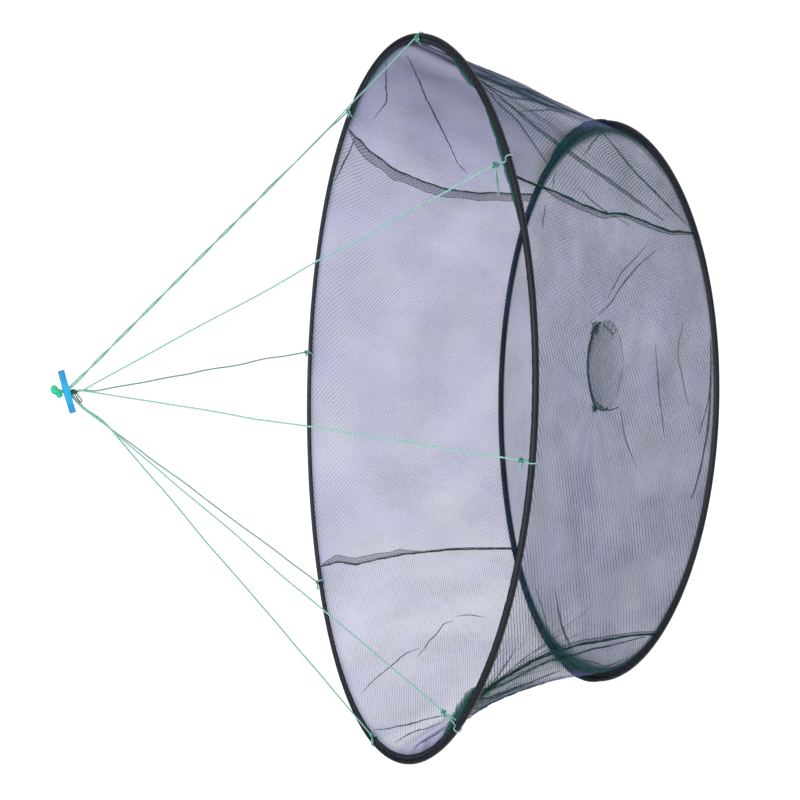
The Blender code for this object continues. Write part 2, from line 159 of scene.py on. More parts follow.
def stray_round(azimuth, fine, down, seed):
    """Smooth noise on the wall that meets itself all the way round; fine is its waves in a metre."""
    turn = math.radians(azimuth)
    reach = MOUTH["mean"] * fine
    return noise.noise(Vector((reach * math.cos(turn), reach * math.sin(turn), down + 10 * seed)))


def facing(azimuth):
    """1 where the wall turns its outside to the camera, 0 where it shows its inside, whose paler tones are
    painted light.
    """
    away = math.sin(math.radians(azimuth))
    return smoothed(min(max((TONE_BLEND - away) / (2 * TONE_BLEND), 0.0), 1.0))


def read_path(path, fraction):
    """The azimuth of a path at a fraction of the way down."""
    for (low, first), (high, last) in zip(path, path[1:]):
        if fraction <= high:
            share = (fraction - low) / (high - low)
            return lerp(first, last, smoothed(share) * 0.5 + share * 0.5)
    return path[-1][1]


def seam_azimuth(number, fraction):
    """Where a seam runs; numbers past the last seam go on round for another turn."""
    path = SEAM_PATHS[number % PANEL_COUNT]
    turns = 360 * (number // PANEL_COUNT)
    return turns + read_path(path, min(max(fraction, 0.0), 1.0))


def smooth_path(points, spacing):
    """Points at about even spacing along a smooth curve through the given ones."""
    path = [Vector(points[0])]
    ends = [2 * points[0] - points[1], *points, 2 * points[-1] - points[-2]]
    for before, start, end, after in zip(ends, ends[1:], ends[2:], ends[3:]):
        bend = 2 * before - 5 * start + 4 * end - after
        twist = 3 * start - before - 3 * end + after
        steps = max(1, round((end - start).length / spacing))
        for step in range(1, steps + 1):
            t = step / steps
            path.append(0.5 * (2 * start + (end - before) * t + bend * t * t + twist * t * t * t))
    return path


def eased(path, rounds):
    """The same path with its sharp turns rounded, as a limp line takes them."""
    for _ in range(rounds):
        between = [(a + 2 * b + c) / 4 for a, b, c in zip(path, path[1:], path[2:])]
        path = [path[0], *between, path[-1]]
    return path


# The netting's threads run this far round from the way down the wall
MESH_SLANT = math.radians(55)
# Light gets through a thread's loose fibres as well as past it
THREAD_COVER = 0.80
# How far the threads stray from straight, on the cloth
MESH_SWAY = 0.0011


# Shader nodes: small helpers, then the groups that more than one finish uses


def add_node(tree, kind, values=None, **settings):
    """A node with its settings, and its inputs set, or linked where the value is a socket."""
    node = tree.nodes.new(kind)
    for name, value in settings.items():
        setattr(node, name, value)
    for name, value in (values or {}).items():
        if isinstance(value, bpy.types.NodeSocket):
            tree.links.new(value, node.inputs[name])
        else:
            node.inputs[name].default_value = value
    return node


def calc(tree, operation, *values, clamp=False):
    numbered = dict(enumerate(values))
    return add_node(tree, "ShaderNodeMath", numbered, operation=operation, use_clamp=clamp).outputs[0]


def vector_calc(tree, operation, values):
    return add_node(tree, "ShaderNodeVectorMath", values, operation=operation).outputs[0]


def split(tree, vector):
    """A vector's three parts."""
    return add_node(tree, "ShaderNodeSeparateXYZ", {0: vector}).outputs


def spread(tree, value, low, high, bottom, top, smooth=True):
    """Value taken from the range low to high, to the range bottom to top."""
    kind = "SMOOTHSTEP" if smooth else "LINEAR"
    limits = {"Value": value, "From Min": low, "From Max": high, "To Min": bottom, "To Max": top}
    return add_node(tree, "ShaderNodeMapRange", limits, interpolation_type=kind).outputs[0]


def grain(tree, where, scale, detail=3.0):
    values = {"Vector": where, "Scale": scale, "Detail": detail}
    return add_node(tree, "ShaderNodeTexNoise", values).outputs["Fac"]


def blend(tree, share, first, second):
    """From the first colour to the second; each is three numbers or a socket."""
    mixed = tree.nodes.new("ShaderNodeMix")
    mixed.data_type = "RGBA"
    sockets = {socket.identifier: socket for socket in mixed.inputs}
    tree.links.new(share, sockets["Factor_Float"])
    for key, value in (("A_Color", first), ("B_Color", second)):
        if isinstance(value, bpy.types.NodeSocket):
            tree.links.new(value, sockets[key])
        else:
            sockets[key].default_value = (*value, 1.0)
    return next(socket for socket in mixed.outputs if socket.identifier == "Result_Color")


def new_group(name, inputs, outputs):
    """A shader group with its named sockets, and the nodes at its two ends."""
    tree = bpy.data.node_groups.new(name, "ShaderNodeTree")
    for socket, kind, default in inputs:
        made = tree.interface.new_socket(socket, in_out="INPUT", socket_type=kind)
        if default is not None:
            made.default_value = default
    for socket in outputs:
        tree.interface.new_socket(socket, in_out="OUTPUT", socket_type="NodeSocketFloat")
    entry = tree.nodes.new("NodeGroupInput").outputs
    return tree, entry, tree.nodes.new("NodeGroupOutput").inputs


def mesh_group():
    """Knotless netting: two slanting sets of threads, the first the stronger, over a haze of fine fibre."""
    found = bpy.data.node_groups.get("Knotless Mesh")
    if found:
        return found
    tree, given, out = new_group(
        "Knotless Mesh",
        (
            ("Cloth", "NodeSocketVector", None),
            ("Pitch", "NodeSocketFloat", 0.0031),
            ("Thread", "NodeSocketFloat", 0.0007),
            ("Haze", "NodeSocketFloat", 0.4),
            ("Gather", "NodeSocketFloat", 0.0),
            ("Thin", "NodeSocketFloat", 0.0),
        ),
        ("Cover", "Thread Mask", "Shade"),
    )
    cloth = given["Cloth"]
    pull = add_node(tree, "ShaderNodeTexNoise", {"Vector": cloth, "Scale": 42.0, "Detail": 1.0})
    centred = vector_calc(tree, "SUBTRACT", {0: pull.outputs["Color"], 1: (0.5, 0.5, 0.5)})
    slight = vector_calc(tree, "SCALE", {0: centred, "Scale": MESH_SWAY})
    moved = vector_calc(tree, "ADD", {0: cloth, 1: slight})
    parts = split(tree, moved)
    along = calc(tree, "MULTIPLY", parts[0], math.cos(MESH_SLANT))
    down = calc(tree, "MULTIPLY", parts[1], math.sin(MESH_SLANT))
    uneven = spread(tree, grain(tree, cloth, 60.0, 2.0), 0.3, 0.7, 0.40, 0.60, smooth=False)
    drawn = calc(tree, "ADD", given["Gather"], 1.0)
    width = calc(tree, "MULTIPLY", calc(tree, "MULTIPLY", given["Thread"], uneven), drawn)
    threads = []
    for operation, share in (("ADD", 1.0), ("SUBTRACT", 0.55)):
        slanting = calc(tree, "DIVIDE", calc(tree, operation, along, down), given["Pitch"])
        away = calc(tree, "ABSOLUTE", calc(tree, "SUBTRACT", calc(tree, "FRACT", slanting), 0.5))
        away = calc(tree, "MULTIPLY", away, given["Pitch"])
        inner = calc(tree, "MULTIPLY", width, 0.70 * share)
        outer = calc(tree, "MULTIPLY", width, 1.30 * share)
        threads.append(spread(tree, away, inner, outer, 1.0, 0.0))
    clear = spread(tree, grain(tree, cloth, 11.0, 2.0), 0.34, 0.60, 0.45, 1.0)
    thread = calc(tree, "MULTIPLY", calc(tree, "MAXIMUM", *threads), clear)
    thicker = calc(tree, "ADD", calc(tree, "MULTIPLY", given["Gather"], 1.5), 1.0)
    clearer = spread(tree, given["Thin"], 0.0, 1.0, 1.0, 0.20, smooth=False)
    fibre = calc(tree, "MULTIPLY", given["Haze"], clearer)
    loose = calc(tree, "MULTIPLY", fibre, calc(tree, "MAXIMUM", thicker, 0.0), clamp=True)
    closed = spread(tree, given["Gather"], 0.2, 0.95, 0.0, 1.0, smooth=False)
    haze = calc(tree, "MAXIMUM", loose, closed)
    cover = spread(tree, given["Thin"], 0.0, 1.0, THREAD_COVER, 0.90, smooth=False)
    solid = calc(tree, "MULTIPLY", thread, cover)
    left = calc(tree, "MULTIPLY", calc(tree, "SUBTRACT", 1.0, solid), haze)
    tree.links.new(calc(tree, "ADD", solid, left, clamp=True), out["Cover"])
    tree.links.new(thread, out["Thread Mask"])
    fine = spread(tree, grain(tree, cloth, 400.0, 2.0), 0.3, 0.7, -0.20, 0.20, smooth=False)
    broad = spread(tree, grain(tree, cloth, 14.0, 3.0), 0.30, 0.66, 0.15, 0.85)
    tree.links.new(calc(tree, "ADD", fine, broad, clamp=True), out["Shade"])
    return tree


def strand_group():
    """Fibres of a twisted cord, running slantwise round it, with paler and duller stretches along it."""
    found = bpy.data.node_groups.get("Twisted Fibres")
    if found:
        return found
    tree, given, out = new_group(
        "Twisted Fibres",
        (("Along", "NodeSocketVector", None), ("Fibres", "NodeSocketFloat", 9.0)),
        ("Relief", "Shade", "Patches"),
    )
    parts = split(tree, given["Along"])
    twist = calc(tree, "MULTIPLY", parts[1], 900.0)
    turning = calc(tree, "ADD", calc(tree, "MULTIPLY", parts[0], given["Fibres"]), twist)
    wave = calc(tree, "ABSOLUTE", calc(tree, "SINE", calc(tree, "MULTIPLY", turning, math.pi)))
    tree.links.new(wave, out["Relief"])
    speckle = grain(tree, given["Along"], 900.0, 2.0)
    tree.links.new(calc(tree, "MULTIPLY", wave, speckle), out["Shade"])
    tree.links.new(grain(tree, given["Along"], 28.0, 2.0), out["Patches"])
    return tree


def wear_group():
    """Slow blotches and fine specks that keep a plain surface from being one flat colour."""
    found = bpy.data.node_groups.get("Handling Wear")
    if found:
        return found
    tree, given, out = new_group(
        "Handling Wear",
        (
            ("Where", "NodeSocketVector", None),
            ("Blotch", "NodeSocketFloat", 40.0),
            ("Speck", "NodeSocketFloat", 900.0),
        ),
        ("Blotches", "Specks", "Relief"),
    )
    blotches = grain(tree, given["Where"], given["Blotch"], 4.0)
    specks = grain(tree, given["Where"], given["Speck"], 2.0)
    tree.links.new(spread(tree, blotches, 0.35, 0.70, 0.0, 1.0), out["Blotches"])
    tree.links.new(spread(tree, specks, 0.45, 0.65, 0.0, 1.0), out["Specks"])
    tree.links.new(specks, out["Relief"])
    return tree


def use_group(tree, group, values):
    return add_node(tree, "ShaderNodeGroup", values, node_tree=group).outputs


def new_finish(name, roughness, metallic=0.0, specular=0.5):
    """A material with its Principled shader and the coordinates that its patterns are drawn in."""
    material = bpy.data.materials.new(name)
    material.use_nodes = True
    tree = material.node_tree
    shader = tree.nodes["Principled BSDF"]
    shader.inputs["Roughness"].default_value = roughness
    shader.inputs["Metallic"].default_value = metallic
    shader.inputs["Specular IOR Level"].default_value = specular
    return material, tree, shader.inputs


def add_relief(tree, shader, height, distance):
    values = {"Height": height, "Distance": distance, "Strength": 0.6}
    tree.links.new(add_node(tree, "ShaderNodeBump", values).outputs[0], shader["Normal"])


def cloth_map(tree):
    return add_node(tree, "ShaderNodeUVMap", uv_map="cloth").outputs[0]


def weight_here(tree, name):
    """One of the weights that the pieces carry at each of their points."""
    return add_node(tree, "ShaderNodeAttribute", attribute_name=name).outputs["Fac"]


def net_finish(name, back, front, pitch, thread, haze):
    """Netting. Back and front each give three colours: of threads, of the haze between them and of folds, the
    last darker with painted shade. The back ones, for the inside, are paler and bluer: painted light, the
    same netting as seen against the light.
    """
    found = bpy.data.materials.get(name)
    if found:
        return found
    material, tree, shader = new_finish(name, 0.62, specular=0.2)
    gather = weight_here(tree, "gather")
    front_here = weight_here(tree, "front")
    thin_here = weight_here(tree, "thin")
    # The side that faces the camera picks the tones: the outside's dark ones, or the inside's paler, bluer
    # ones, which are painted light.
    inside = add_node(tree, "ShaderNodeNewGeometry").outputs["Backfacing"]
    outside = calc(tree, "SUBTRACT", front_here, calc(tree, "MULTIPLY", thin_here, inside), clamp=True)
    thin = calc(tree, "MULTIPLY", thin_here, calc(tree, "SUBTRACT", 1.0, inside))
    values = {"Cloth": cloth_map(tree), "Pitch": pitch, "Thread": thread, "Haze": haze}
    mesh = use_group(tree, mesh_group(), values | {"Gather": gather, "Thin": thin})
    patch = spread(tree, mesh["Shade"], 0.0, 1.0, 0.08, -0.08, smooth=False)
    leaning = calc(tree, "ADD", outside, patch, clamp=True)
    threads, between, gathered = (blend(tree, leaning, *pair) for pair in zip(back, front))
    single = blend(tree, mesh["Thread Mask"], between, threads)
    # Drawn-together netting blends to the darker gathered tones: denser netting, and painted shade inside its
    # folds.
    drawn = spread(tree, gather, 0.12, 0.60, 0.0, 1.0, smooth=False)
    tone = blend(tree, drawn, single, gathered)
    light = spread(tree, mesh["Shade"], 0.0, 1.0, 0.78, 1.22, smooth=False)
    tree.links.new(vector_calc(tree, "SCALE", {0: tone, "Scale": light}), shader["Base Color"])
    tree.links.new(mesh["Cover"], shader["Alpha"])
    add_relief(tree, shader, mesh["Thread Mask"], 0.0004)
    return material


def cord_finish(name, dark, light, patch, roughness, fibres=9.0):
    """Twisted cord: shaded and lit fibres, and stretches of a third tone along it."""
    found = bpy.data.materials.get(name)
    if found:
        return found
    material, tree, shader = new_finish(name, roughness)
    strands = use_group(tree, strand_group(), {"Along": cloth_map(tree), "Fibres": fibres})
    fibre = blend(tree, strands["Shade"], dark, light)
    patches = spread(tree, strands["Patches"], 0.42, 0.62, 0.0, 1.0)
    tree.links.new(blend(tree, calc(tree, "MULTIPLY", patches, 0.6), fibre, patch), shader["Base Color"])
    add_relief(tree, shader, strands["Relief"], 0.0003)
    return material


def tape_finish():
    """Black ribbed binding tape with a satin sheen, a little grey in blotches where it is handled, and a
    lighter grey on its leaves that is a painted sheen.
    """
    found = bpy.data.materials.get("Binding Tape")
    if found:
        return found
    material, tree, shader = new_finish("Binding Tape", 0.30, specular=0.26)
    cloth = cloth_map(tree)
    wear = use_group(tree, wear_group(), {"Where": cloth, "Blotch": 22.0, "Speck": 700.0})
    dull = blend(tree, wear["Blotches"], (0.0024, 0.0040, 0.0090), (0.0050, 0.0072, 0.0140))
    # The front weight is the leaf share: the leaves are painted a lighter grey, a painted sheen where they
    # catch the light.
    leaf = weight_here(tree, "front")
    tree.links.new(blend(tree, leaf, dull, (0.009, 0.012, 0.020)), shader["Base Color"])
    tree.links.new(spread(tree, wear["Specks"], 0.0, 1.0, 0.24, 0.38), shader["Roughness"])
    parts = split(tree, cloth)
    rib = calc(tree, "SINE", calc(tree, "MULTIPLY", parts[0], math.tau / 0.0011))
    warp = calc(tree, "SINE", calc(tree, "MULTIPLY", parts[1], math.tau / 0.0008))
    weave = calc(tree, "ADD", calc(tree, "MULTIPLY", rib, warp), wear["Relief"])
    add_relief(tree, shader, weave, 0.00012)
    return material


def thread_finish():
    """Dark sewing thread, and the dark cord of the bait pocket."""
    return cord_finish(
        "Dark Thread", (0.010, 0.030, 0.032), (0.035, 0.075, 0.075), (0.018, 0.045, 0.050), 0.6
    )


def line_finish():
    lines = bpy.context.scene.crab_net_lines
    return cord_finish("Mint Line", lines.dark, lines.light, lines.dull, 0.45)


def metal_finish(name, dull, bright, roughness):
    """Drawn or crimped metal, with fine marks along it."""
    material, tree, shader = new_finish(name, roughness, metallic=1.0)
    where = add_node(tree, "ShaderNodeTexCoord").outputs["Object"]
    wear = use_group(tree, wear_group(), {"Where": where, "Blotch": 90.0, "Speck": 1500.0})
    tree.links.new(blend(tree, wear["Blotches"], dull, bright), shader["Base Color"])
    worn = spread(tree, wear["Specks"], 0.0, 1.0, roughness - 0.1, roughness + 0.15)
    tree.links.new(worn, shader["Roughness"])
    add_relief(tree, shader, wear["Relief"], 0.0001)
    return material


def plastic_finish(deep, bright):
    """Moulded plastic: faint flow marks, and small scuffs that dull the gloss."""
    material, tree, shader = new_finish("Blue Moulding", 0.34)
    where = add_node(tree, "ShaderNodeTexCoord").outputs["Object"]
    wear = use_group(tree, wear_group(), {"Where": where, "Blotch": 110.0, "Speck": 1600.0})
    towards_end = calc(tree, "ABSOLUTE", split(tree, where)[0])
    darker = spread(tree, towards_end, 0.002, 0.021, 0.0, 0.8)
    mixed = calc(tree, "ADD", darker, calc(tree, "MULTIPLY", wear["Blotches"], 0.2), clamp=True)
    tree.links.new(blend(tree, mixed, bright, deep), shader["Base Color"])
    tree.links.new(spread(tree, wear["Specks"], 0.0, 1.0, 0.28, 0.48), shader["Roughness"])
    add_relief(tree, shader, wear["Relief"], 0.0001)
    return material


# Meshes

# How far the hollows between a cord's strands go in, as a share of its radius
STRAND_HOLLOW = 0.26


def link(name, mesh, *materials):
    """An object of a mesh, in the scene and with its finishes."""
    piece = bpy.data.objects.new(name, mesh)
    bpy.context.scene.collection.objects.link(piece)
    for material in materials:
        piece.data.materials.append(material)
    return piece


def fit(name, weaver, materials, body, replaced=None):
    """One piece from what is woven: its finishes, the frame's node it stands for and its body."""
    piece = link(name, weaver.mesh(name), *materials)
    if replaced:
        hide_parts(replaced)
    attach(piece, body)
    return piece


def fold_up(piece, top):
    """Gives the piece a mesh of its own; top is not used."""
    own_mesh(piece)


class Weaver:
    """Gathers faces with their cloth coordinates, gather weights and finishes, and makes one mesh of them."""

    def __init__(self):
        self.points = []
        self.cloth = []
        self.weights = {"gather": [], "front": [], "thin": []}
        self.faces = []
        self.finishes = []

    def add(self, point, u, v, gather=0.0, front=0.0, thin=None):
        """Front is how far the outside's tones hold; thin, where it differs, how little haze there is."""
        self.points.append(tuple(point))
        self.cloth.append((u, v))
        self.weights["gather"].append(gather)
        self.weights["front"].append(front)
        self.weights["thin"].append(front if thin is None else thin)
        return len(self.points) - 1

    def face(self, corners, finish=0):
        self.faces.append(tuple(corners))
        self.finishes.append(finish)

    def bridge(self, rows, finish=0, closed=False):
        """Quads between rows of point numbers; closed joins each row's last point to its first."""
        for upper, lower in zip(rows, rows[1:]):
            count = len(upper)
            for number in range(count if closed else count - 1):
                after = (number + 1) % count
                self.face((upper[number], lower[number], lower[after], upper[after]), finish)

    def disc(self, middle, rings):
        """Triangles from a middle point to the first ring, and quads from each ring to the next."""
        first = rings[0]
        for number, corner in enumerate(first):
            self.face((middle, corner, first[(number + 1) % len(first)]))
        self.bridge(rings, closed=True)

    def mesh(self, name):
        mesh = bpy.data.meshes.new(name)
        mesh.from_pydata(self.points, [], self.faces)
        mesh.polygons.foreach_set("material_index", self.finishes)
        corners = np.empty(len(mesh.loops), np.int32)
        mesh.loops.foreach_get("vertex_index", corners)
        uv = mesh.uv_layers.new(name="cloth")
        uv.data.foreach_set("uv", np.array(self.cloth, np.float32)[corners].ravel())
        for weight, values in self.weights.items():
            made = mesh.attributes.new(weight, "FLOAT", "POINT")
            made.data.foreach_set("value", np.array(values, np.float32))
        mesh.shade_smooth()
        return mesh


def frames_along(path):
    """A side and an up direction at each point of a path, carried along it without twisting."""
    ahead = [(after - before).normalized() for before, after in zip(path, path[1:])]
    tangents = [ahead[0], *[(a + b).normalized() for a, b in zip(ahead, ahead[1:])], ahead[-1]]
    side = tangents[0].orthogonal().normalized()
    frames = []
    for tangent in tangents:
        side = (side - tangent * side.dot(tangent)).normalized()
        frames.append((side, tangent.cross(side)))
    return frames


def add_tube(weaver, path, radius, sides=8, lobes=0, lay=0.006, finish=0, blunt=True, weights=(0.0, 0.0)):
    """A round or twisted cord along a path. Radius may be a function of the share of the way along."""
    rows = []
    length = 0.0
    count = len(path)
    for number, (point, (side, up)) in enumerate(zip(path, frames_along(path))):
        if number:
            length += (point - path[number - 1]).length
        reach = radius(number / (count - 1)) if callable(radius) else radius
        row = []
        for step in range(sides):
            turn = -math.tau * step / sides
            swell = 1.0
            if lobes:
                crown = abs(math.cos(lobes / 2 * (turn - math.tau * length / lay / lobes * 2)))
                swell = 1 - STRAND_HOLLOW + STRAND_HOLLOW * crown
            ray = side * math.cos(turn) + up * math.sin(turn)
            row.append(weaver.add(point + ray * reach * swell, step / sides, length, *weights))
        rows.append(row)
    weaver.bridge(rows, finish, closed=True)
    if blunt:
        weaver.face(rows[0], finish)
        weaver.face(reversed(rows[-1]), finish)


def curl(radius, turns, centre, axis, rise, steps):
    """A few turns of cord that rise along an axis, with that many steps to each turn."""
    side = axis.orthogonal().normalized()
    up = axis.cross(side)
    count = max(2, round(steps * turns))
    path = []
    for number in range(count + 1):
        turn = math.tau * turns * number / count
        ray = side * math.cos(turn) + up * math.sin(turn)
        path.append(centre + ray * radius + axis * rise * number / count)
    return path


def overhand(size, centre, turn):
    """The path of a drawn-up overhand knot: size gives its three half widths."""
    path = []
    steps = 72
    for number in range(steps + 1):
        t = math.tau * number / steps
        across = (math.sin(t) + 2 * math.sin(2 * t)) / 3
        raw = Vector((across, (math.cos(t) - 2 * math.cos(2 * t)) / 3, -math.sin(3 * t)))
        path.append(centre + turn @ Vector((raw.x * size[0], raw.y * size[1], raw.z * size[2])))
    return path


# Sizes and colours that a user would change


class CrabNetNetting(bpy.types.PropertyGroup):
    mesh_pitch: bpy.props.FloatProperty(
        name="Mesh pitch", description="From thread to thread",
        default=0.0031, unit="LENGTH", precision=4,
    )
    thread_width: bpy.props.FloatProperty(
        name="Thread width", description="Width of one netting thread",
        default=0.00062, unit="LENGTH", precision=5,
    )
    haze: bpy.props.FloatProperty(
        name="Haze", description="How much the fine fibres between the threads hide",
        default=0.56, subtype="FACTOR",
    )
    wrinkle: bpy.props.FloatProperty(
        name="Wrinkle", description="How far the slack netting ripples",
        default=0.0035, unit="LENGTH", precision=4,
    )
    grid: bpy.props.FloatProperty(
        name="Grid", description="Spacing of the sheet's own points",
        default=0.0040, unit="LENGTH", precision=4,
    )
    # The inside tones are paler and bluer than the outside's: painted light, the same netting as seen against
    # the light.
    back_thread: bpy.props.FloatVectorProperty(
        name="Inside thread", description="Threads on the wall's inside",
        subtype="COLOR", default=(0.25, 0.255, 0.40),
    )
    back_haze: bpy.props.FloatVectorProperty(
        name="Inside haze", description="Haze on the wall's inside",
        subtype="COLOR", default=(0.070, 0.080, 0.36),
    )
    # The gathered tones are darker than single netting: denser netting, and painted shade inside the folds.
    back_gather_and_shade: bpy.props.FloatVectorProperty(
        name="Inside gathers", description="Folds on the wall's inside",
        subtype="COLOR", default=(0.045, 0.052, 0.080),
    )
    front_thread: bpy.props.FloatVectorProperty(
        name="Outside thread", description="Threads on the wall's outside",
        subtype="COLOR", default=(0.005, 0.056, 0.108),
    )
    front_haze: bpy.props.FloatVectorProperty(
        name="Outside haze", description="Haze on the wall's outside",
        subtype="COLOR", default=(0.006, 0.024, 0.050),
    )
    front_gather_and_shade: bpy.props.FloatVectorProperty(
        name="Outside gathers", description="Folds on the wall's outside",
        subtype="COLOR", default=(0.004, 0.058, 0.050),
    )


class CrabNetBinding(bpy.types.PropertyGroup):
    mouth_reach: bpy.props.FloatProperty(
        name="Mouth leaf", description="Reach of the mouth tape inwards",
        default=0.0078, unit="LENGTH", precision=4,
    )
    base_reach: bpy.props.FloatProperty(
        name="Base leaf", description="Reach of the base tape inwards",
        default=0.0066, unit="LENGTH", precision=4,
    )
    leaf: bpy.props.FloatProperty(
        name="Tape thickness", description="Thickness of one leaf",
        default=0.0005, unit="LENGTH", precision=5,
    )
    mouth_slope: bpy.props.FloatProperty(
        name="Mouth slope", description="How far the mouth tape's leaves turn down",
        default=math.radians(-3), subtype="ANGLE",
    )
    base_slope: bpy.props.FloatProperty(
        name="Base slope", description="How far the base tape's leaves turn down",
        default=math.radians(8), subtype="ANGLE",
    )
    slit: bpy.props.FloatProperty(
        name="Slit", description="Half the room for the netting",
        default=0.0004, unit="LENGTH", precision=5,
    )
    stitch: bpy.props.FloatProperty(
        name="Stitch", description="Length of one stitch",
        default=0.0034, unit="LENGTH", precision=4,
    )
    stitch_gap: bpy.props.FloatProperty(
        name="Stitch gap", description="Gap between stitches",
        default=0.0016, unit="LENGTH", precision=4,
    )


class CrabNetLines(bpy.types.PropertyGroup):
    diameter: bpy.props.FloatProperty(
        name="Line", description="Diameter of a line",
        default=0.0018, unit="LENGTH", precision=4,
    )
    lay: bpy.props.FloatProperty(
        name="Lay", description="Length of one turn of the strands",
        default=0.0065, unit="LENGTH", precision=4,
    )
    crook: bpy.props.FloatProperty(
        name="Crook", description="How far a line strays from straight",
        default=0.0016, unit="LENGTH", precision=4,
    )
    dark: bpy.props.FloatVectorProperty(
        name="Dark fibre", description="Shaded fibre",
        subtype="COLOR", default=(0.17, 0.48, 0.40),
    )
    light: bpy.props.FloatVectorProperty(
        name="Light fibre", description="Lit fibre",
        subtype="COLOR", default=(0.43, 0.84, 0.73),
    )
    dull: bpy.props.FloatVectorProperty(
        name="Dull patch", description="Greyed stretches",
        subtype="COLOR", default=(0.40, 0.66, 0.60),
    )


class CrabNetHub(bpy.types.PropertyGroup):
    deep: bpy.props.FloatVectorProperty(
        name="Deep blue", description="Blue near the bar's ends",
        subtype="COLOR", default=(0.010, 0.27, 0.55),
    )
    bright: bpy.props.FloatVectorProperty(
        name="Bright blue", description="Blue at the bar's middle",
        subtype="COLOR", default=(0.008, 0.46, 0.86),
    )
    edge: bpy.props.FloatProperty(
        name="Edge", description="Rounding of the bar's edges",
        default=0.0011, unit="LENGTH", precision=4,
    )


class CrabNetStage(bpy.types.PropertyGroup):
    lens: bpy.props.FloatProperty(
        name="Lens", description="Focal length on a 36 mm sensor",
        default=105.05, subtype="DISTANCE_CAMERA",
    )
    floor_drop: bpy.props.FloatProperty(
        name="Floor drop", description="Floor below the base hoop",
        default=0.55, unit="LENGTH",
    )


GROUPS = {
    "crab_net_netting": CrabNetNetting,
    "crab_net_binding": CrabNetBinding,
    "crab_net_lines": CrabNetLines,
    "crab_net_hub": CrabNetHub,
    "crab_net_stage": CrabNetStage,
}


# The netting's surface

# The fraction of the way down where the wall draws in most
WAIST_PEAK = 0.42
# The length over which the netting turns out of a binding's slit
SLIT_TURN = 0.0016


def envelope(fraction):
    """Nothing at either hoop, and most a little above half way."""
    if fraction < WAIST_PEAK:
        return math.sin(math.pi / 2 * fraction / WAIST_PEAK)
    return math.cos(math.pi / 2 * (fraction - WAIST_PEAK) / (1 - WAIST_PEAK))


def tilted(out, up, slope):
    """A place in the binding's section, outwards and upwards from the wire, turned with its leaves."""
    return out * math.cos(slope) - up * math.sin(slope), out * math.sin(slope) + up * math.cos(slope)


def slit_spot(hoop, azimuth, reach, slope):
    """A place in the slit between a binding's leaves, that far in from the wire."""
    out, up = tilted(-reach, 0.0, slope)
    return spot(hoop_radius(hoop, azimuth) + out, azimuth, hoop["z"] + up)


def waist(azimuth):
    """How far the wall draws in between the hoops."""
    inwards = 0.010 - 0.011 * math.cos(math.radians(azimuth))
    inwards -= 0.0075 * bump(azimuth, 345, 42)
    inwards += 0.0094 * bump(azimuth, 352, 17)
    return inwards + 0.005 * bump(azimuth, 38, 20)


def wall_ripple(azimuth, fraction, height):
    """Slack netting hangs in long soft folds that run down from the hoop, and small ones between them."""
    down = fraction * DEPTH
    bent = azimuth + 8 * stray_round(azimuth, 5, down * 6, 0.9)
    long_folds = stray_round(bent, 15, down * 5, 0.4)
    slanting = stray_round(azimuth + 150 * down, 26, down * 9, 0.6)
    small = stray_round(azimuth, 75, down * 60, 0.1)
    slack = math.sqrt(max(envelope(fraction), 0.0))
    return height * (0.9 * long_folds + 0.5 * slanting + 0.18 * small) * slack


def wall_point(azimuth, fraction):
    """A place on the netting wall. Under 0 and over 1 it runs on between the leaves of the bindings."""
    netting = bpy.context.scene.crab_net_netting
    binding = bpy.context.scene.crab_net_binding
    if fraction < 0:
        reach = lerp(binding.mouth_reach, BEAD_RADIUS, -fraction)
        return slit_spot(MOUTH, azimuth, reach, binding.mouth_slope)
    if fraction > 1:
        reach = lerp(binding.base_reach, BEAD_RADIUS, fraction - 1)
        return slit_spot(BASE, azimuth, reach, binding.base_slope)
    top = slit_spot(MOUTH, azimuth, binding.mouth_reach + 0.0002, binding.mouth_slope)
    low = slit_spot(BASE, azimuth, binding.base_reach + 0.0002, binding.base_slope)
    place = top.lerp(low, fraction)
    fall = 1 - math.exp(-fraction * DEPTH / SLIT_TURN)
    rise = 1 - math.exp(-(1 - fraction) * DEPTH / SLIT_TURN)
    inwards = waist(azimuth) * envelope(fraction) + SLIT_TURN * 0.5 * min(fall, rise)
    inwards += 0.007 * bump(azimuth, 192, 14) * fall * math.exp(-((fraction / 0.18) ** 2))
    inwards -= wall_ripple(azimuth, fraction, netting.wrinkle)
    return place - spot(inwards, azimuth, 0.0)


def wall_side(azimuth, fraction):
    """The outward normal of the wall."""
    here = wall_point(azimuth, fraction)
    across = wall_point(azimuth + 0.4, fraction) - here
    down = wall_point(azimuth, min(fraction + 0.01, 1.0)) - wall_point(azimuth, max(fraction - 0.01, 0.0))
    return down.cross(across).normalized()


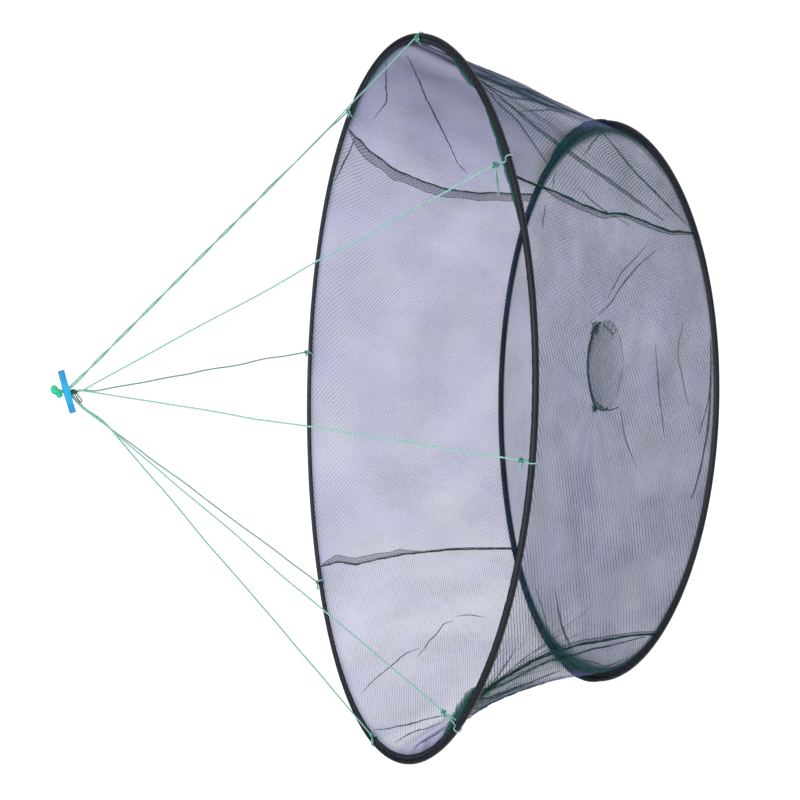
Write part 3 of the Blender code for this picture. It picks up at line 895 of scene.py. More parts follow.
# Where the wall is looser or drawn together: azimuth and fraction, the spread in each, and by how much
WALL_PATCHES = (
    (12, 0.3, 24, 0.9, 0.31),
    (340, 0.35, 16, 0.6, 0.34),
    (140, 0.4, 42, 0.9, -0.13),
    (235, 0.4, 24, 0.9, 0.18),
    (318, 0.5, 14, 0.9, 0.25),
    (203, 0.35, 13, 0.5, 0.45),
    (213, 0.00, 7, 0.16, 0.95),
    (306, 0.02, 5, 0.10, 0.50),
    (331, 0.00, 6, 0.12, 0.60),
    (10, 0.99, 16, 0.04, 0.60),
    (172, 0.99, 18, 0.05, 0.80),
    (346.5, 0.45, 2.6, 0.70, 0.32),
    (352.0, 0.50, 2.2, 0.80, 0.46),
    (357.5, 0.40, 2.8, 0.80, 0.42),
    (181.5, 0.50, 2.6, 0.60, 0.36),
    (187.0, 0.52, 2.4, 0.60, 0.46),
    (193.0, 0.50, 3.0, 0.60, 0.38),
    (290, 0.50, 14, 0.90, -0.14),
    (213, 0.25, 4, 0.30, 0.40),
    (206, 0.60, 8, 0.50, 0.24),
)


def wall_gather(azimuth, fraction):
    """How far the netting is drawn together: more near tapes, folds and tied lines, less in front."""
    drawn = -0.22 * facing(azimuth)
    drawn += 0.3 * math.exp(-max(fraction, 0) * DEPTH / 0.002)
    tied = sum(bump(azimuth, line, 3.0) for line in LINE_AZIMUTHS)
    drawn += 0.12 * tied * math.exp(-max(fraction, 0) / 0.08)
    for place, middle, width, height, amount in WALL_PATCHES:
        drawn += amount * bump(azimuth, place, width) * math.exp(-(((fraction - middle) / height) ** 2))
    return drawn + 0.08 * stray_round(azimuth, 18, fraction * 4, 5.5)


# Which way round each panel's cloth is cut, how far its mesh is turned, and how closely it is drawn together
PANEL_CLOTH = ((1, 6.0, 1.0), (1, 20.0, 1.25), (1, 18.0, 0.92), (-1, 4.0, 1.0))


def panel_cloth(number, around, down):
    """Where a place on the wall lies on its panel's cloth."""
    side, turned, close = PANEL_CLOTH[number]
    turn = math.radians(turned)
    around *= side * close
    down *= close
    return around * math.cos(turn) + down * math.sin(turn), down * math.cos(turn) - around * math.sin(turn)


def painted_hoop_shade(azimuth, fraction):
    """Painted shade along the hoops: how far both sides of the wall take the outside's dark tones there,
    broad over the base, narrow at the mouth.
    """
    reach = 0.0080 + 0.0140 * (bump(azimuth, 12, 22) + bump(azimuth, 168, 22))
    low = math.exp(-((max(0.0, 1 - fraction) * DEPTH / reach) ** 4))
    return max(low, 0.9 * math.exp(-((max(0.0, fraction) * DEPTH / 0.0032) ** 2)))


def add_wall_sheet(weaver, number, grid):
    """A panel's netting from seam to seam, and on into the slits of both bindings."""
    start, end = seam_azimuth(number, 0.5), seam_azimuth(number + 1, 0.5)
    columns = round(math.radians(end - start) * MOUTH["mean"] / grid)
    rows = round(DEPTH / grid)
    fractions = [-1.0, *[row / rows for row in range(rows + 1)], 2.0]
    lattice = []
    for fraction in fractions:
        first, last = seam_azimuth(number, fraction), seam_azimuth(number + 1, fraction)
        row = []
        for column in range(columns + 1):
            azimuth = lerp(first, last, column / columns)
            u = math.radians(lerp(start, end, column / columns)) * MOUTH["mean"]
            gather = wall_gather(azimuth, fraction)
            thin = facing(azimuth)
            # Near the hoops the outside's dark tones hold: painted shade where the netting runs in under the
            # binding.
            front = max(thin, painted_hoop_shade(azimuth, fraction))
            cloth = panel_cloth(number, u, fraction * DEPTH)
            row.append(weaver.add(wall_point(azimuth, fraction), *cloth, gather, front, thin))
        lattice.append(row)
    weaver.bridge(lattice)


# Folds of the wall, as azimuths and fractions along each, with its width
FOLDS = (
    (((331.0, 0.02), (325.5, 0.15), (327.0, 0.30), (328.8, 0.45), (333.0, 0.62), (338.0, 0.80)), 0.0030),
    (
        (
            (328.2, 0.06), (322.5, 0.14), (317.8, 0.23), (315.5, 0.31),
            (312.5, 0.44), (309.0, 0.62), (304.6, 0.84),
        ),
        0.0044,
    ),
    (((320.5, 0.19), (323.8, 0.31), (327.2, 0.46), (332.0, 0.60)), 0.0020),
    (((326.8, 0.05), (320.5, 0.09), (317.8, 0.14), (312.0, 0.20), (308.0, 0.25)), 0.0026),
    (((333.0, 0.02), (330.0, 0.12), (331.5, 0.28), (336.0, 0.45)), 0.0024),
    (((326.8, 0.68), (320.0, 0.57), (314.2, 0.47)), 0.0018),
    (((329.5, 0.67), (319.5, 0.74), (314.8, 0.79), (309.2, 0.89), (305.2, 0.98)), 0.0026),
    (((334.8, 0.80), (331.8, 0.90), (327.0, 0.95), (319.8, 0.97)), 0.0014),
    (((300.0, 0.17), (295.0, 0.12)), 0.0012),
    (((308.0, 0.28), (304.8, 0.24), (302.5, 0.22)), 0.0014),
    (((217.0, 0.04), (216.4, 0.20), (216.4, 0.34), (218.0, 0.45)), 0.0034),
    (((215.5, 0.05), (211.5, 0.28), (212.5, 0.44), (211.8, 0.60), (213.0, 0.80), (213.8, 0.96)), 0.0040),
    (((214.8, 0.04), (206.0, 0.24), (202.5, 0.45), (203.5, 0.62)), 0.0034),
    (((213.5, 0.03), (202.0, 0.22), (197.0, 0.48), (197.0, 0.68)), 0.0030),
    (((212.0, 0.02), (199.0, 0.16), (191.0, 0.40), (190.0, 0.66)), 0.0026),
    (((209.0, 0.62), (204.0, 0.78), (199.8, 0.88), (203.0, 0.97)), 0.0020),
    (((217.0, 0.05), (223.5, 0.04), (228.0, 0.06)), 0.0020),
    (((216.0, 0.09), (219.5, 0.13), (226.0, 0.16)), 0.0020),
    (((239.2, 0.16), (234.0, 0.24), (223.2, 0.38)), 0.0015),
    (((232.2, 0.34), (224.0, 0.44), (212.2, 0.59)), 0.0018),
    (((165.0, 0.01), (169.0, 0.08), (172.8, 0.16), (177.0, 0.25), (182.0, 0.26)), 0.0020),
    (((174.8, 0.03), (176.8, 0.12), (180.0, 0.21)), 0.0018),
    (((186.8, 0.01), (187.2, 0.08), (189.2, 0.15)), 0.0028),
    (((153.2, 0.04), (151.5, 0.11), (149.8, 0.22), (148.5, 0.29), (148.5, 0.37)), 0.0014),
    (((151.0, 0.33), (148.2, 0.40), (145.5, 0.48), (144.0, 0.51), (143.5, 0.57)), 0.0014),
    (((142.5, 0.59), (142.8, 0.66), (144.2, 0.73)), 0.0012),
    (((6.0, 0.05), (14.0, 0.18), (20.0, 0.28), (28.2, 0.44), (33.8, 0.54), (37.0, 0.62)), 0.0018),
    (((12.8, 0.01), (24.0, 0.11), (26.5, 0.12), (31.2, 0.10)), 0.0016),
    (((37.0, 0.05), (42.0, 0.04), (48.0, 0.01)), 0.0018),
    (((283.8, 0.84), (277.8, 0.80), (272.5, 0.83), (268.5, 0.86)), 0.0014),
    (((275.8, 0.98), (269.5, 0.96), (263.5, 0.92)), 0.0016),
)
# Folds at least this wide lie open, as a strip of doubled netting between two ridges
PLEAT_WIDTH = 0.0030
# A bunched ridge in section: sideways as a share of its half width, and up as a share of its height
RIDGE_SECTION = ((-1.0, 0.06), (-0.55, 0.7), (0.0, 1.0), (0.55, 0.7), (1.0, 0.06))
# The cloth that a fold takes up from one of its points to the next
FOLD_STEP = 0.004


def fold_frames(stops):
    """Points along a fold, each with the way it stands out, its sideways way, its share and its facing."""
    # The path is smoothed on a chart with degrees across it and hundredths of the depth down it
    path = smooth_path([Vector((azimuth, fraction * 100, 0.0)) for azimuth, fraction in stops], 0.8)
    count = len(path)
    frames = []
    for number, here in enumerate(path):
        before, after = path[max(number - 1, 0)], path[min(number + 1, count - 1)]
        centre = wall_point(here.x, here.y / 100)
        front = facing(here.x)
        standing = wall_side(here.x, here.y / 100) * (1 if front > 0.4 else -1)
        ahead = wall_point(after.x, after.y / 100) - wall_point(before.x, before.y / 100)
        frames.append((centre, standing, standing.cross(ahead).normalized(), number / (count - 1), front))
    return frames


def taper(share, end=0.05):
    """Full in the middle of a fold, dying out at both ends."""
    return math.sin(math.pi * (end + (1 - 2 * end) * share)) ** 0.6


def add_ridge(weaver, frames, width, offset, seed):
    """A low, uneven ridge of bunched netting along a fold, that far to one side of its middle."""
    rows = []
    for number, (centre, standing, aside, share, front) in enumerate(frames):
        reach = width / 2 * taper(share) * (1 + 0.55 * stray(number * 0.55, seed, 2.2))
        height = width * 0.8 * taper(share) * (1 + 0.4 * stray(number * 0.4, seed, 4.1))
        middle = centre + aside * (offset * taper(share) + 0.0011 * stray(number * 0.28, seed, 7.7))
        row = []
        for sideways, up in RIDGE_SECTION:
            point = middle + aside * reach * sideways + standing * (height * up + 0.0003)
            loose = 1.0 - 1.3 * abs(sideways) + 0.4 * stray(number * 0.5, seed + sideways, 9.3)
            row.append(weaver.add(point, reach * sideways + seed, number * FOLD_STEP, loose, front))
        rows.append(row)
    weaver.bridge(rows, 1)


# Where creases fan out down the wall: the azimuth they start at, from and to which they end, and how many
FANS = ((214.0, 187.0, 231.0, 18), (329.0, 309.0, 345.0, 9))


def fanned_folds():
    """Small creases that fan out from where the wall is bunched at the mouth; the same every time."""
    shuffle = random.Random(7)
    for root, low, high, count in FANS:
        for number in range(count):
            start = root + shuffle.uniform(-4.0, 4.0)
            end = lerp(low, high, (number + shuffle.random()) / count)
            reach = shuffle.uniform(0.20, 0.62)
            middle = lerp(start, end, 0.5) + shuffle.uniform(-2.0, 2.0)
            yield ((start, 0.02), (middle, reach * 0.45), (end, reach)), shuffle.uniform(0.0006, 0.0012)


def add_fold(weaver, stops, width):
    """One ridge where the fold is narrow; where it is wide, a pleat with a ridge along each side."""
    frames = fold_frames(stops)
    seed = width * 900 + stops[0][0]
    if width < PLEAT_WIDTH:
        add_ridge(weaver, frames, width, 0.0, seed)
        return
    rows = []
    for number, (centre, standing, aside, share, front) in enumerate(frames):
        reach = width * 0.6 * taper(share)
        row = []
        for sideways in (-1.0, 0.0, 1.0):
            point = centre + aside * reach * sideways + standing * 0.0008
            row.append(weaver.add(point, reach * sideways, number * FOLD_STEP, 0.25, front))
        rows.append(row)
    weaver.bridge(rows)
    for side in (-1, 1):
        add_ridge(weaver, frames, width * (0.40 + 0.06 * side), side * width * 0.6, seed + side)


# Netting bunched over the mouth tape's inner edge: azimuth, how far it runs each way, and its reach inwards
FLAPS = ((306.0, 12.0, 0.013), (211.8, 9.0, 0.018), (330.0, 6.0, 0.008))


def add_flap(weaver, middle, spread_round, reach):
    """Netting that lies over the tape's leaf, ruffled, and sags at its free edge."""
    binding = bpy.context.scene.crab_net_binding
    overlap = 0.002
    halfway, steps = 24, 6
    rows = []
    for column in range(2 * halfway + 1):
        share = column / halfway - 1
        azimuth = middle + spread_round * share
        length = reach * (1 - share * share) * (1 + 0.30 * stray(column * 0.35, middle, 3.6))
        u = math.radians(azimuth) * MOUTH["mean"]
        row = []
        for step in range(steps + 1):
            inwards = binding.mouth_reach - overlap + (length + overlap) * step / steps
            ruffle = 0.0016 * abs(stray(column * 0.8, step * 0.5, 6.1)) * step / steps
            height = binding.slit + binding.leaf + 0.0004 + ruffle
            sag = 0.25 * length * step / steps
            point = spot(hoop_radius(MOUTH, azimuth) - inwards, azimuth, MOUTH["z"] + height - sag)
            drawn = lerp(1.3, 0.1, (step / steps) ** 2) + 0.4 * stray(column * 0.9, step * 0.3, 2.9)
            row.append(weaver.add(point, u * 0.3, inwards * 2, drawn, 1.0))
        rows.append(row)
    weaver.bridge(rows, 1)


# Slack netting rolled over the outside of the base hoop: from and to which azimuth, and its thickness
ROLLS = ((355.0, 386.0, 0.0028), (166.0, 184.0, 0.0014))


def add_roll(weaver, start, end, thick):
    """A lumpy roll that thins out towards both ends."""
    path = []
    steps = 60
    for step in range(steps + 1):
        azimuth = lerp(start, end, step / steps)
        out = BEAD_RADIUS + 0.0004 * stray(step * 0.4, start, 2.7)
        path.append(spot(hoop_radius(BASE, azimuth) + out, azimuth, BASE["z"] + 0.0016))

    def radius(share):
        lumpy = 1 + 0.25 * stray(share * 12, start, 4.9)
        return thick * math.sin(math.pi * (0.04 + 0.92 * share)) ** 0.7 * lumpy

    add_tube(weaver, path, radius, sides=10, finish=1, weights=(1.1, 1.0))


def net_materials():
    """The finish of single netting, and the finer, closer one of folds, all in the gathers' tones, which are
    darker with painted shade in the folds.
    """
    netting = bpy.context.scene.crab_net_netting
    back = (netting.back_thread, netting.back_haze, netting.back_gather_and_shade)
    front = (netting.front_thread, netting.front_haze, netting.front_gather_and_shade)
    pitch, thread = netting.mesh_pitch, netting.thread_width
    plain = net_finish("Netting", back, front, pitch, thread, netting.haze)
    bunched = net_finish("Gathered And Shaded Netting", back[2:] * 3, front[2:] * 3, pitch * 0.5, thread, 0.55)
    return plain, bunched


class CRABNET_OT_wall(bpy.types.Operator):
    """Hang the four wall panels between the hoops, with their folds"""

    bl_idname = "crab_net.wall"
    bl_label = "Wall netting"

    def execute(self, context):
        grid = context.scene.crab_net_netting.grid
        materials = net_materials()
        for number in range(PANEL_COUNT):
            weaver = Weaver()
            add_wall_sheet(weaver, number, grid)
            first, last = seam_azimuth(number, 0.3), seam_azimuth(number + 1, 0.3)
            for stops, width in (*FOLDS, *fanned_folds()):
                middle = stops[len(stops) // 2][0]
                if first <= middle < last or first <= middle + 360 < last:
                    add_fold(weaver, stops, width)
            for middle, spread_round, reach in FLAPS:
                if first <= middle < last:
                    add_flap(weaver, middle, spread_round, reach)
            for start, end, thick in ROLLS:
                if first <= (start + end) / 2 < last:
                    add_roll(weaver, start, end, thick)
            panel = fit(
                f"wall_netting_{number + 1}", weaver, materials,
                body="mouth_hoop", replaced=f"wall_panel_{number + 1}",
            )
            fold_up(panel, MOUTH["z"])
            width = math.radians(last - first) * MOUTH["mean"]
        return {"FINISHED"}


# How far under its wire the base netting lies
BASE_LAYER = 0.0009
# Creases of the base netting, as X and Y along each, with its width
BASE_FOLDS = (
    (((0.060, -0.300), (0.029, -0.303), (-0.031, -0.298), (-0.082, -0.274), (-0.103, -0.257)), 0.0024),
    (((0.159, -0.167), (0.147, -0.124), (0.128, -0.079), (0.108, -0.041), (0.095, -0.005)), 0.0018),
    (((0.166, -0.140), (0.150, -0.100), (0.137, -0.066), (0.112, -0.030)), 0.0014),
    (((0.245, 0.060), (0.215, -0.010), (0.190, -0.090)), 0.0016),
    (((-0.223, 0.115), (-0.262, 0.092), (-0.292, 0.050)), 0.0020),
    (((0.060, -0.165), (0.010, -0.175), (-0.040, -0.190)), 0.0012),
    (((-0.010, -0.075), (-0.045, -0.090), (-0.075, -0.120)), 0.0012),
)
# A crease in section: sideways as a share of its half width, and up as a share of its width
CREASE_SECTION = ((-1.0, 0.06), (-0.5, 0.7), (0.0, 1.0), (0.5, 0.7), (1.0, 0.06))


def base_height(x, y):
    """The base netting lies slack: shallow hollows and ridges that die out towards the hoop."""
    azimuth = math.degrees(math.atan2(y, x))
    share = math.hypot(x, y) / hoop_radius(BASE, azimuth)
    slack = max(0.0, 1 - share**4)
    waves = 0.7 * stray(x * 9, y * 9, 2.0) + 0.4 * stray(x * 26 + y * 12, y * 22, 8.0)
    return BASE["z"] - BASE_LAYER + 0.0030 * slack * waves


def base_gather(azimuth, inwards):
    """Drawn together along the hoop, and in a dark green hem where the slack of the base is taken up."""
    hem = 0.0046 + 0.0044 * bump(azimuth, 8, 22) + 0.0080 * bump(azimuth, 172, 18)
    return 0.24 + 1.1 * math.exp(-((inwards / hem) ** 2)) + 0.06 * stray(azimuth * 0.1, inwards * 20, 6.5)


class CRABNET_OT_base(bpy.types.Operator):
    """Lay the base netting across the base hoop, with its folds"""

    bl_idname = "crab_net.base"
    bl_label = "Base netting"

    def execute(self, context):
        grid = context.scene.crab_net_netting.grid
        weaver = Weaver()
        rings = round((BASE["mean"] - BEAD_RADIUS) / grid)
        sectors = 240
        middle = weaver.add(Vector((0.0, 0.0, base_height(0.0, 0.0))), 0.0, 0.0, 0.24, 0.2)
        lattice = []
        for ring in range(1, rings + 1):
            row = []
            for sector in range(sectors):
                azimuth = 360 * sector / sectors
                radius = (hoop_radius(BASE, azimuth) - BEAD_RADIUS - 0.0012) * ring / rings
                place = spot(radius, azimuth, 0.0)
                place.z = base_height(place.x, place.y)
                gather = base_gather(azimuth, (rings - ring) * grid)
                front = min(1.0, max(0.2, gather * 1.4 - 0.3))
                row.append(weaver.add(place, place.x, place.y, gather, front, 0.2))
            lattice.append(row)
        weaver.disc(middle, lattice)
        for stops, width in BASE_FOLDS:
            self.add_base_fold(weaver, stops, width)
        piece = fit(
            "base_netting", weaver, net_materials(), body="base_hoop", replaced="base_panel"
        )
        return {"FINISHED"}

    def add_base_fold(self, weaver, stops, width):
        """A low crease of bunched netting that lies on the slack base."""
        path = smooth_path([Vector((x, y, 0.0)) for x, y in stops], FOLD_STEP)
        rows = []
        for number, here in enumerate(path):
            share = number / (len(path) - 1)
            ahead = path[min(number + 1, len(path) - 1)] - path[max(number - 1, 0)]
            aside = Vector((-ahead.y, ahead.x, 0.0)).normalized()
            full = taper(share, 0.06)
            reach = width / 2 * full * (1 + 0.35 * stray(number * 0.45, width * 1000, 3.2))
            sway = width * 0.5 * stray(number * 0.2, width * 800, 1.0)
            row = []
            for sideways, up in CREASE_SECTION:
                point = here + aside * (reach * sideways + sway)
                point.z = base_height(point.x, point.y) + width * up * full
                loose = 0.8 - 1.3 * abs(sideways) + 0.4 * stray(number * 0.5, share * 3 + sideways, 9.3)
                row.append(weaver.add(point, reach * sideways + share, number * FOLD_STEP, loose, 0.5))
            rows.append(row)
        weaver.bridge(rows, 1)


# Which side of its rolled edge each seam's doubled band lies on, and its width at fractions of its way
SEAM_BANDS = (
    (1, ((0.0, 0.0015), (0.08, 0.0150), (1.0, 0.0140))),
    (-1, ((0.0, 0.0015), (0.08, 0.0100), (0.38, 0.0090), (0.50, 0.0022), (1.0, 0.0030))),
    (1, ((0.0, 0.0030), (0.30, 0.0060), (0.50, 0.0120), (1.0, 0.0080))),
    (
        -1,
        (
            (0.0, 0.0015), (0.17, 0.0015), (0.24, 0.0085), (0.44, 0.0095),
            (0.56, 0.0040), (0.72, 0.0075), (1.0, 0.0030),
        ),
    ),
)
# The radius of each seam's rolled edge
EDGE_RADII = (0.0008, 0.0009, 0.0012, 0.0011)
# The seams from this one on are on the half of the wall that shows its outside
FIRST_NEAR_SEAM = 2
# Steps along a seam's band
BAND_STEPS = 120


class CRABNET_OT_seams(bpy.types.Operator):
    """Sew the four seams: a doubled band of netting with a rolled edge and its stitches"""

    bl_idname = "crab_net.seams"
    bl_label = "Seams"

    def execute(self, context):
        materials = (*net_materials(), thread_finish())
        for number in range(PANEL_COUNT):
            weaver = Weaver()
            self.add_band(weaver, number)
            self.add_rolled_edge(weaver, number)
            self.add_stitches(weaver, number)
            seam = fit(
                f"wall_seam_band_{number + 1}", weaver, materials,
                body="mouth_hoop", replaced=f"wall_seam_{number + 1}",
            )
            fold_up(seam, MOUTH["z"])
        return {"FINISHED"}

    def place(self, number, fraction, offset, lift):
        """A place on the wall beside a seam's edge, raised towards the camera's side."""
        azimuth = seam_azimuth(number, fraction) + math.degrees(offset / MOUTH["mean"])
        way = 1 if number >= FIRST_NEAR_SEAM else -1
        return wall_point(azimuth, fraction) + wall_side(azimuth, fraction) * lift * way

    def band_width(self, number, fraction, step):
        return read_path(SEAM_BANDS[number][1], fraction) * (1 + 0.16 * stray(step * 0.16, number * 3.0, 2.5))

    def add_band(self, weaver, number):
        """The doubled netting, between its rolled edge and its fringe, wound to face the camera's side."""
        side = SEAM_BANDS[number][0]
        near = number >= FIRST_NEAR_SEAM
        shares = (0.0, 0.25, 0.5, 0.75, 1.0)
        if (side > 0) != near:
            shares = shares[::-1]
        rows = []
        for step in range(BAND_STEPS + 1):
            fraction = lerp(0.010, 0.990, step / BAND_STEPS)
            width = self.band_width(number, fraction, step)
            fringe = 0.0006 * stray(step * 0.9, number * 2.0, 7.2)
            row = []
            for share in shares:
                lift = 0.0007 + 0.0007 * abs(stray(step * 0.35, share * 4, number + 0.5))
                offset = side * (width + fringe) * share
                point = self.place(number, fraction, offset, lift)
                gather = 0.08 - 0.14 * share
                front = 1.0 if near else 0.65
                row.append(weaver.add(point, fraction * DEPTH, width * share, gather, front, 0.5))
            rows.append(row)
        weaver.bridge(rows)

    def add_rolled_edge(self, weaver, number):
        """The rolled edge itself, and the thin selvedge along the band's other side."""
        path = []
        steps = 160
        for step in range(steps + 1):
            fraction = lerp(0.006, 0.994, step / steps)
            sway = 0.0009 * stray(step * 0.16, number * 2.0, 4.4)
            path.append(self.place(number, fraction, sway, 0.0011))

        def radius(share):
            return EDGE_RADII[number] * (1 + 0.45 * stray(share * 34, number * 1.7, 6.6))

        front = 1.0 if number >= FIRST_NEAR_SEAM else 0.4
        add_tube(weaver, path, radius, sides=8, finish=1, weights=(0.9, front))
        side = SEAM_BANDS[number][0]
        selvedge = []
        for step in range(BAND_STEPS + 1):
            fraction = lerp(0.012, 0.988, step / BAND_STEPS)
            width = self.band_width(number, fraction, step)
            selvedge.append(self.place(number, fraction, side * width, 0.0010))
        add_tube(weaver, selvedge, 0.00030, sides=6, finish=1, weights=(0.25, front))

    def add_stitches(self, weaver, number):
        """Short stitches down the band, beside its rolled edge: two steps of thread and one of gap."""
        offset = SEAM_BANDS[number][0] * 0.0016
        steps = 3 * round(DEPTH / 0.0042)
        fractions = [lerp(0.02, 0.98, step / steps) for step in range(steps + 1)]
        path = [self.place(number, fraction, offset, 0.0019) for fraction in fractions]
        for start in range(0, steps - 2, 3):
            add_tube(weaver, path[start : start + 3], 0.00022, sides=5, finish=2)


# The binding of both hoops


def binding_section(reach, leaf, slit, slope):
    """The folded tape in section, outwards and upwards from the wire; its leaves run inwards on a slope."""
    channel = BEAD_RADIUS - leaf
    join = math.asin((slit + leaf) / BEAD_RADIUS)
    inner = math.asin(slit / channel)
    bead = [
        (BEAD_RADIUS * math.cos(turn), BEAD_RADIUS * math.sin(turn))
        for turn in np.linspace(math.pi - join, join - math.pi, 22)
    ]
    hollow = [
        (channel * math.cos(turn), channel * math.sin(turn))
        for turn in np.linspace(inner - math.pi, math.pi - inner, 9)
    ]
    half = (reach - BEAD_RADIUS) * 0.5 + BEAD_RADIUS
    face = -slit - leaf
    lower = [(-half, face), (-reach, face), (-reach - leaf * 0.3, -slit - leaf / 2), (-reach, -slit)]
    upper = [(out, -up) for out, up in reversed(lower)]
    return [tilted(out, up, slope) for out, up in (*bead, *lower, *hollow, *upper)]


def add_binding(weaver, hoop, section):
    """The tape swept round a hoop, a little uneven, with its leaves puckered by the stitching."""
    count = 400
    full_leaf = 0.007
    around = []
    for number in range(count):
        azimuth = 360 * number / count
        arc = math.radians(azimuth) * hoop["mean"]
        radius = hoop_radius(hoop, azimuth)
        row = []
        run = 0.0
        for place, (out, up) in enumerate(section):
            if place:
                run += math.dist(section[place - 1], (out, up))
            leaf = max(0.0, -out - BEAD_RADIUS) / full_leaf
            pucker = 0.00022 * leaf * math.sin(math.tau * arc / 0.010 + 2 * stray(arc * 20, up * 900, 3.3))
            edge = 0.00045 * leaf * stray(arc * 55, 0.0, 5.1)
            swell = 1 + 0.030 * stray(arc * 90, place * 0.25, 8.8)
            point = spot(radius + out * swell + edge, azimuth, hoop["z"] + up * swell + pucker)
            # The leaf share goes in as the front weight, where the tape's finish paints a lighter grey: a
            # painted sheen on the leaves.
            row.append(weaver.add(point, arc, run, 0.0, min(1.0, 3 * leaf)))
        around.append(row)
    around.append(around[0])
    weaver.bridge(around[::-1], closed=True)


# How a stitch stands out of its leaf and sinks in at both ends: shares of its length, and heights
STITCH_ARCH = ((0.0, -0.0003), (0.15, 0.00012), (0.5, 0.00022), (0.85, 0.00012), (1.0, -0.0003))


def add_tape_stitches(weaver, hoop, binding, slope):
    """Two rows of stitches, on the upper and the lower leaf, close in to the bead."""
    step = binding.stitch + binding.stitch_gap
    inwards = BEAD_RADIUS + 0.0012
    count = round(math.tau * (hoop["mean"] - inwards) / step)
    span = math.degrees(binding.stitch / (hoop["mean"] - inwards))
    for number in range(count):
        start = 360 * number / count
        for side in (1, -1):
            path = []
            stagger = 0.0002 * stray(number * 0.7, side, 1.1)
            for share, height in STITCH_ARCH:
                azimuth = start + span * share
                out, up = tilted(stagger - inwards, side * (binding.slit + binding.leaf + height), slope)
                path.append(spot(hoop_radius(hoop, azimuth) + out, azimuth, hoop["z"] + up))
            add_tube(weaver, path, 0.00024, sides=5)


class CRABNET_OT_binding(bpy.types.Operator):
    """Fold the black tape over both hoops and sew it"""

    bl_idname = "crab_net.binding"
    bl_label = "Hoop bindings"

    def execute(self, context):
        binding = context.scene.crab_net_binding
        for body, hoop, reach, slope in (
            ("mouth_hoop", MOUTH, binding.mouth_reach, binding.mouth_slope),
            ("base_hoop", BASE, binding.base_reach, binding.base_slope),
        ):
            tape = Weaver()
            add_binding(tape, hoop, binding_section(reach, binding.leaf, binding.slit, slope))
            fit(f"{body}_binding", tape, [tape_finish()], body=body, replaced=f"{body}_tape")
            stitches = Weaver()
            add_tape_stitches(stitches, hoop, binding, slope)
            fit(f"{body}_stitching", stitches, [thread_finish()], body=body)
        steel = metal_finish("Spring Wire", (0.34, 0.35, 0.37), (0.62, 0.63, 0.65), 0.32)
        brass = metal_finish("Crimped Brass", (0.42, 0.33, 0.16), (0.70, 0.58, 0.30), 0.38)
        for body in ("mouth_hoop", "base_hoop"):
            for part, material in (("_wire", steel), ("_ferrule", brass)):
                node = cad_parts[body + part]
                node.data.materials.clear()
                node.data.materials.append(material)
        return {"FINISHED"}


# The bait pocket, sewn to the base

# The azimuth that the pocket's pleats are centred on, and that its cord's runs are counted from
POCKET_OPEN = 15.0
# The drawcord's runs round the pocket: how far in from its rim, the radius, and from and to which turn
CORD_RUNS = ((0.0, 0.00125, 0, 182), (0.0050, 0.0007, 24, 168), (0.0, 0.00022, 182, 352))
# The cord's two loose ends on the base, as X and Y
CORD_ENDS = (
    ((0.083, -0.026), (0.078, -0.039), (0.072, -0.053)),
    ((-0.008, -0.021), (-0.012, -0.045), (-0.009, -0.072)),
)
# Where the cord is knotted: X and Y, how wide the tangle of fine ends is, and how many they are
CORD_TANGLES = ((0.080, -0.006, 0.012, 8), (-0.010, -0.008, 0.008, 4))


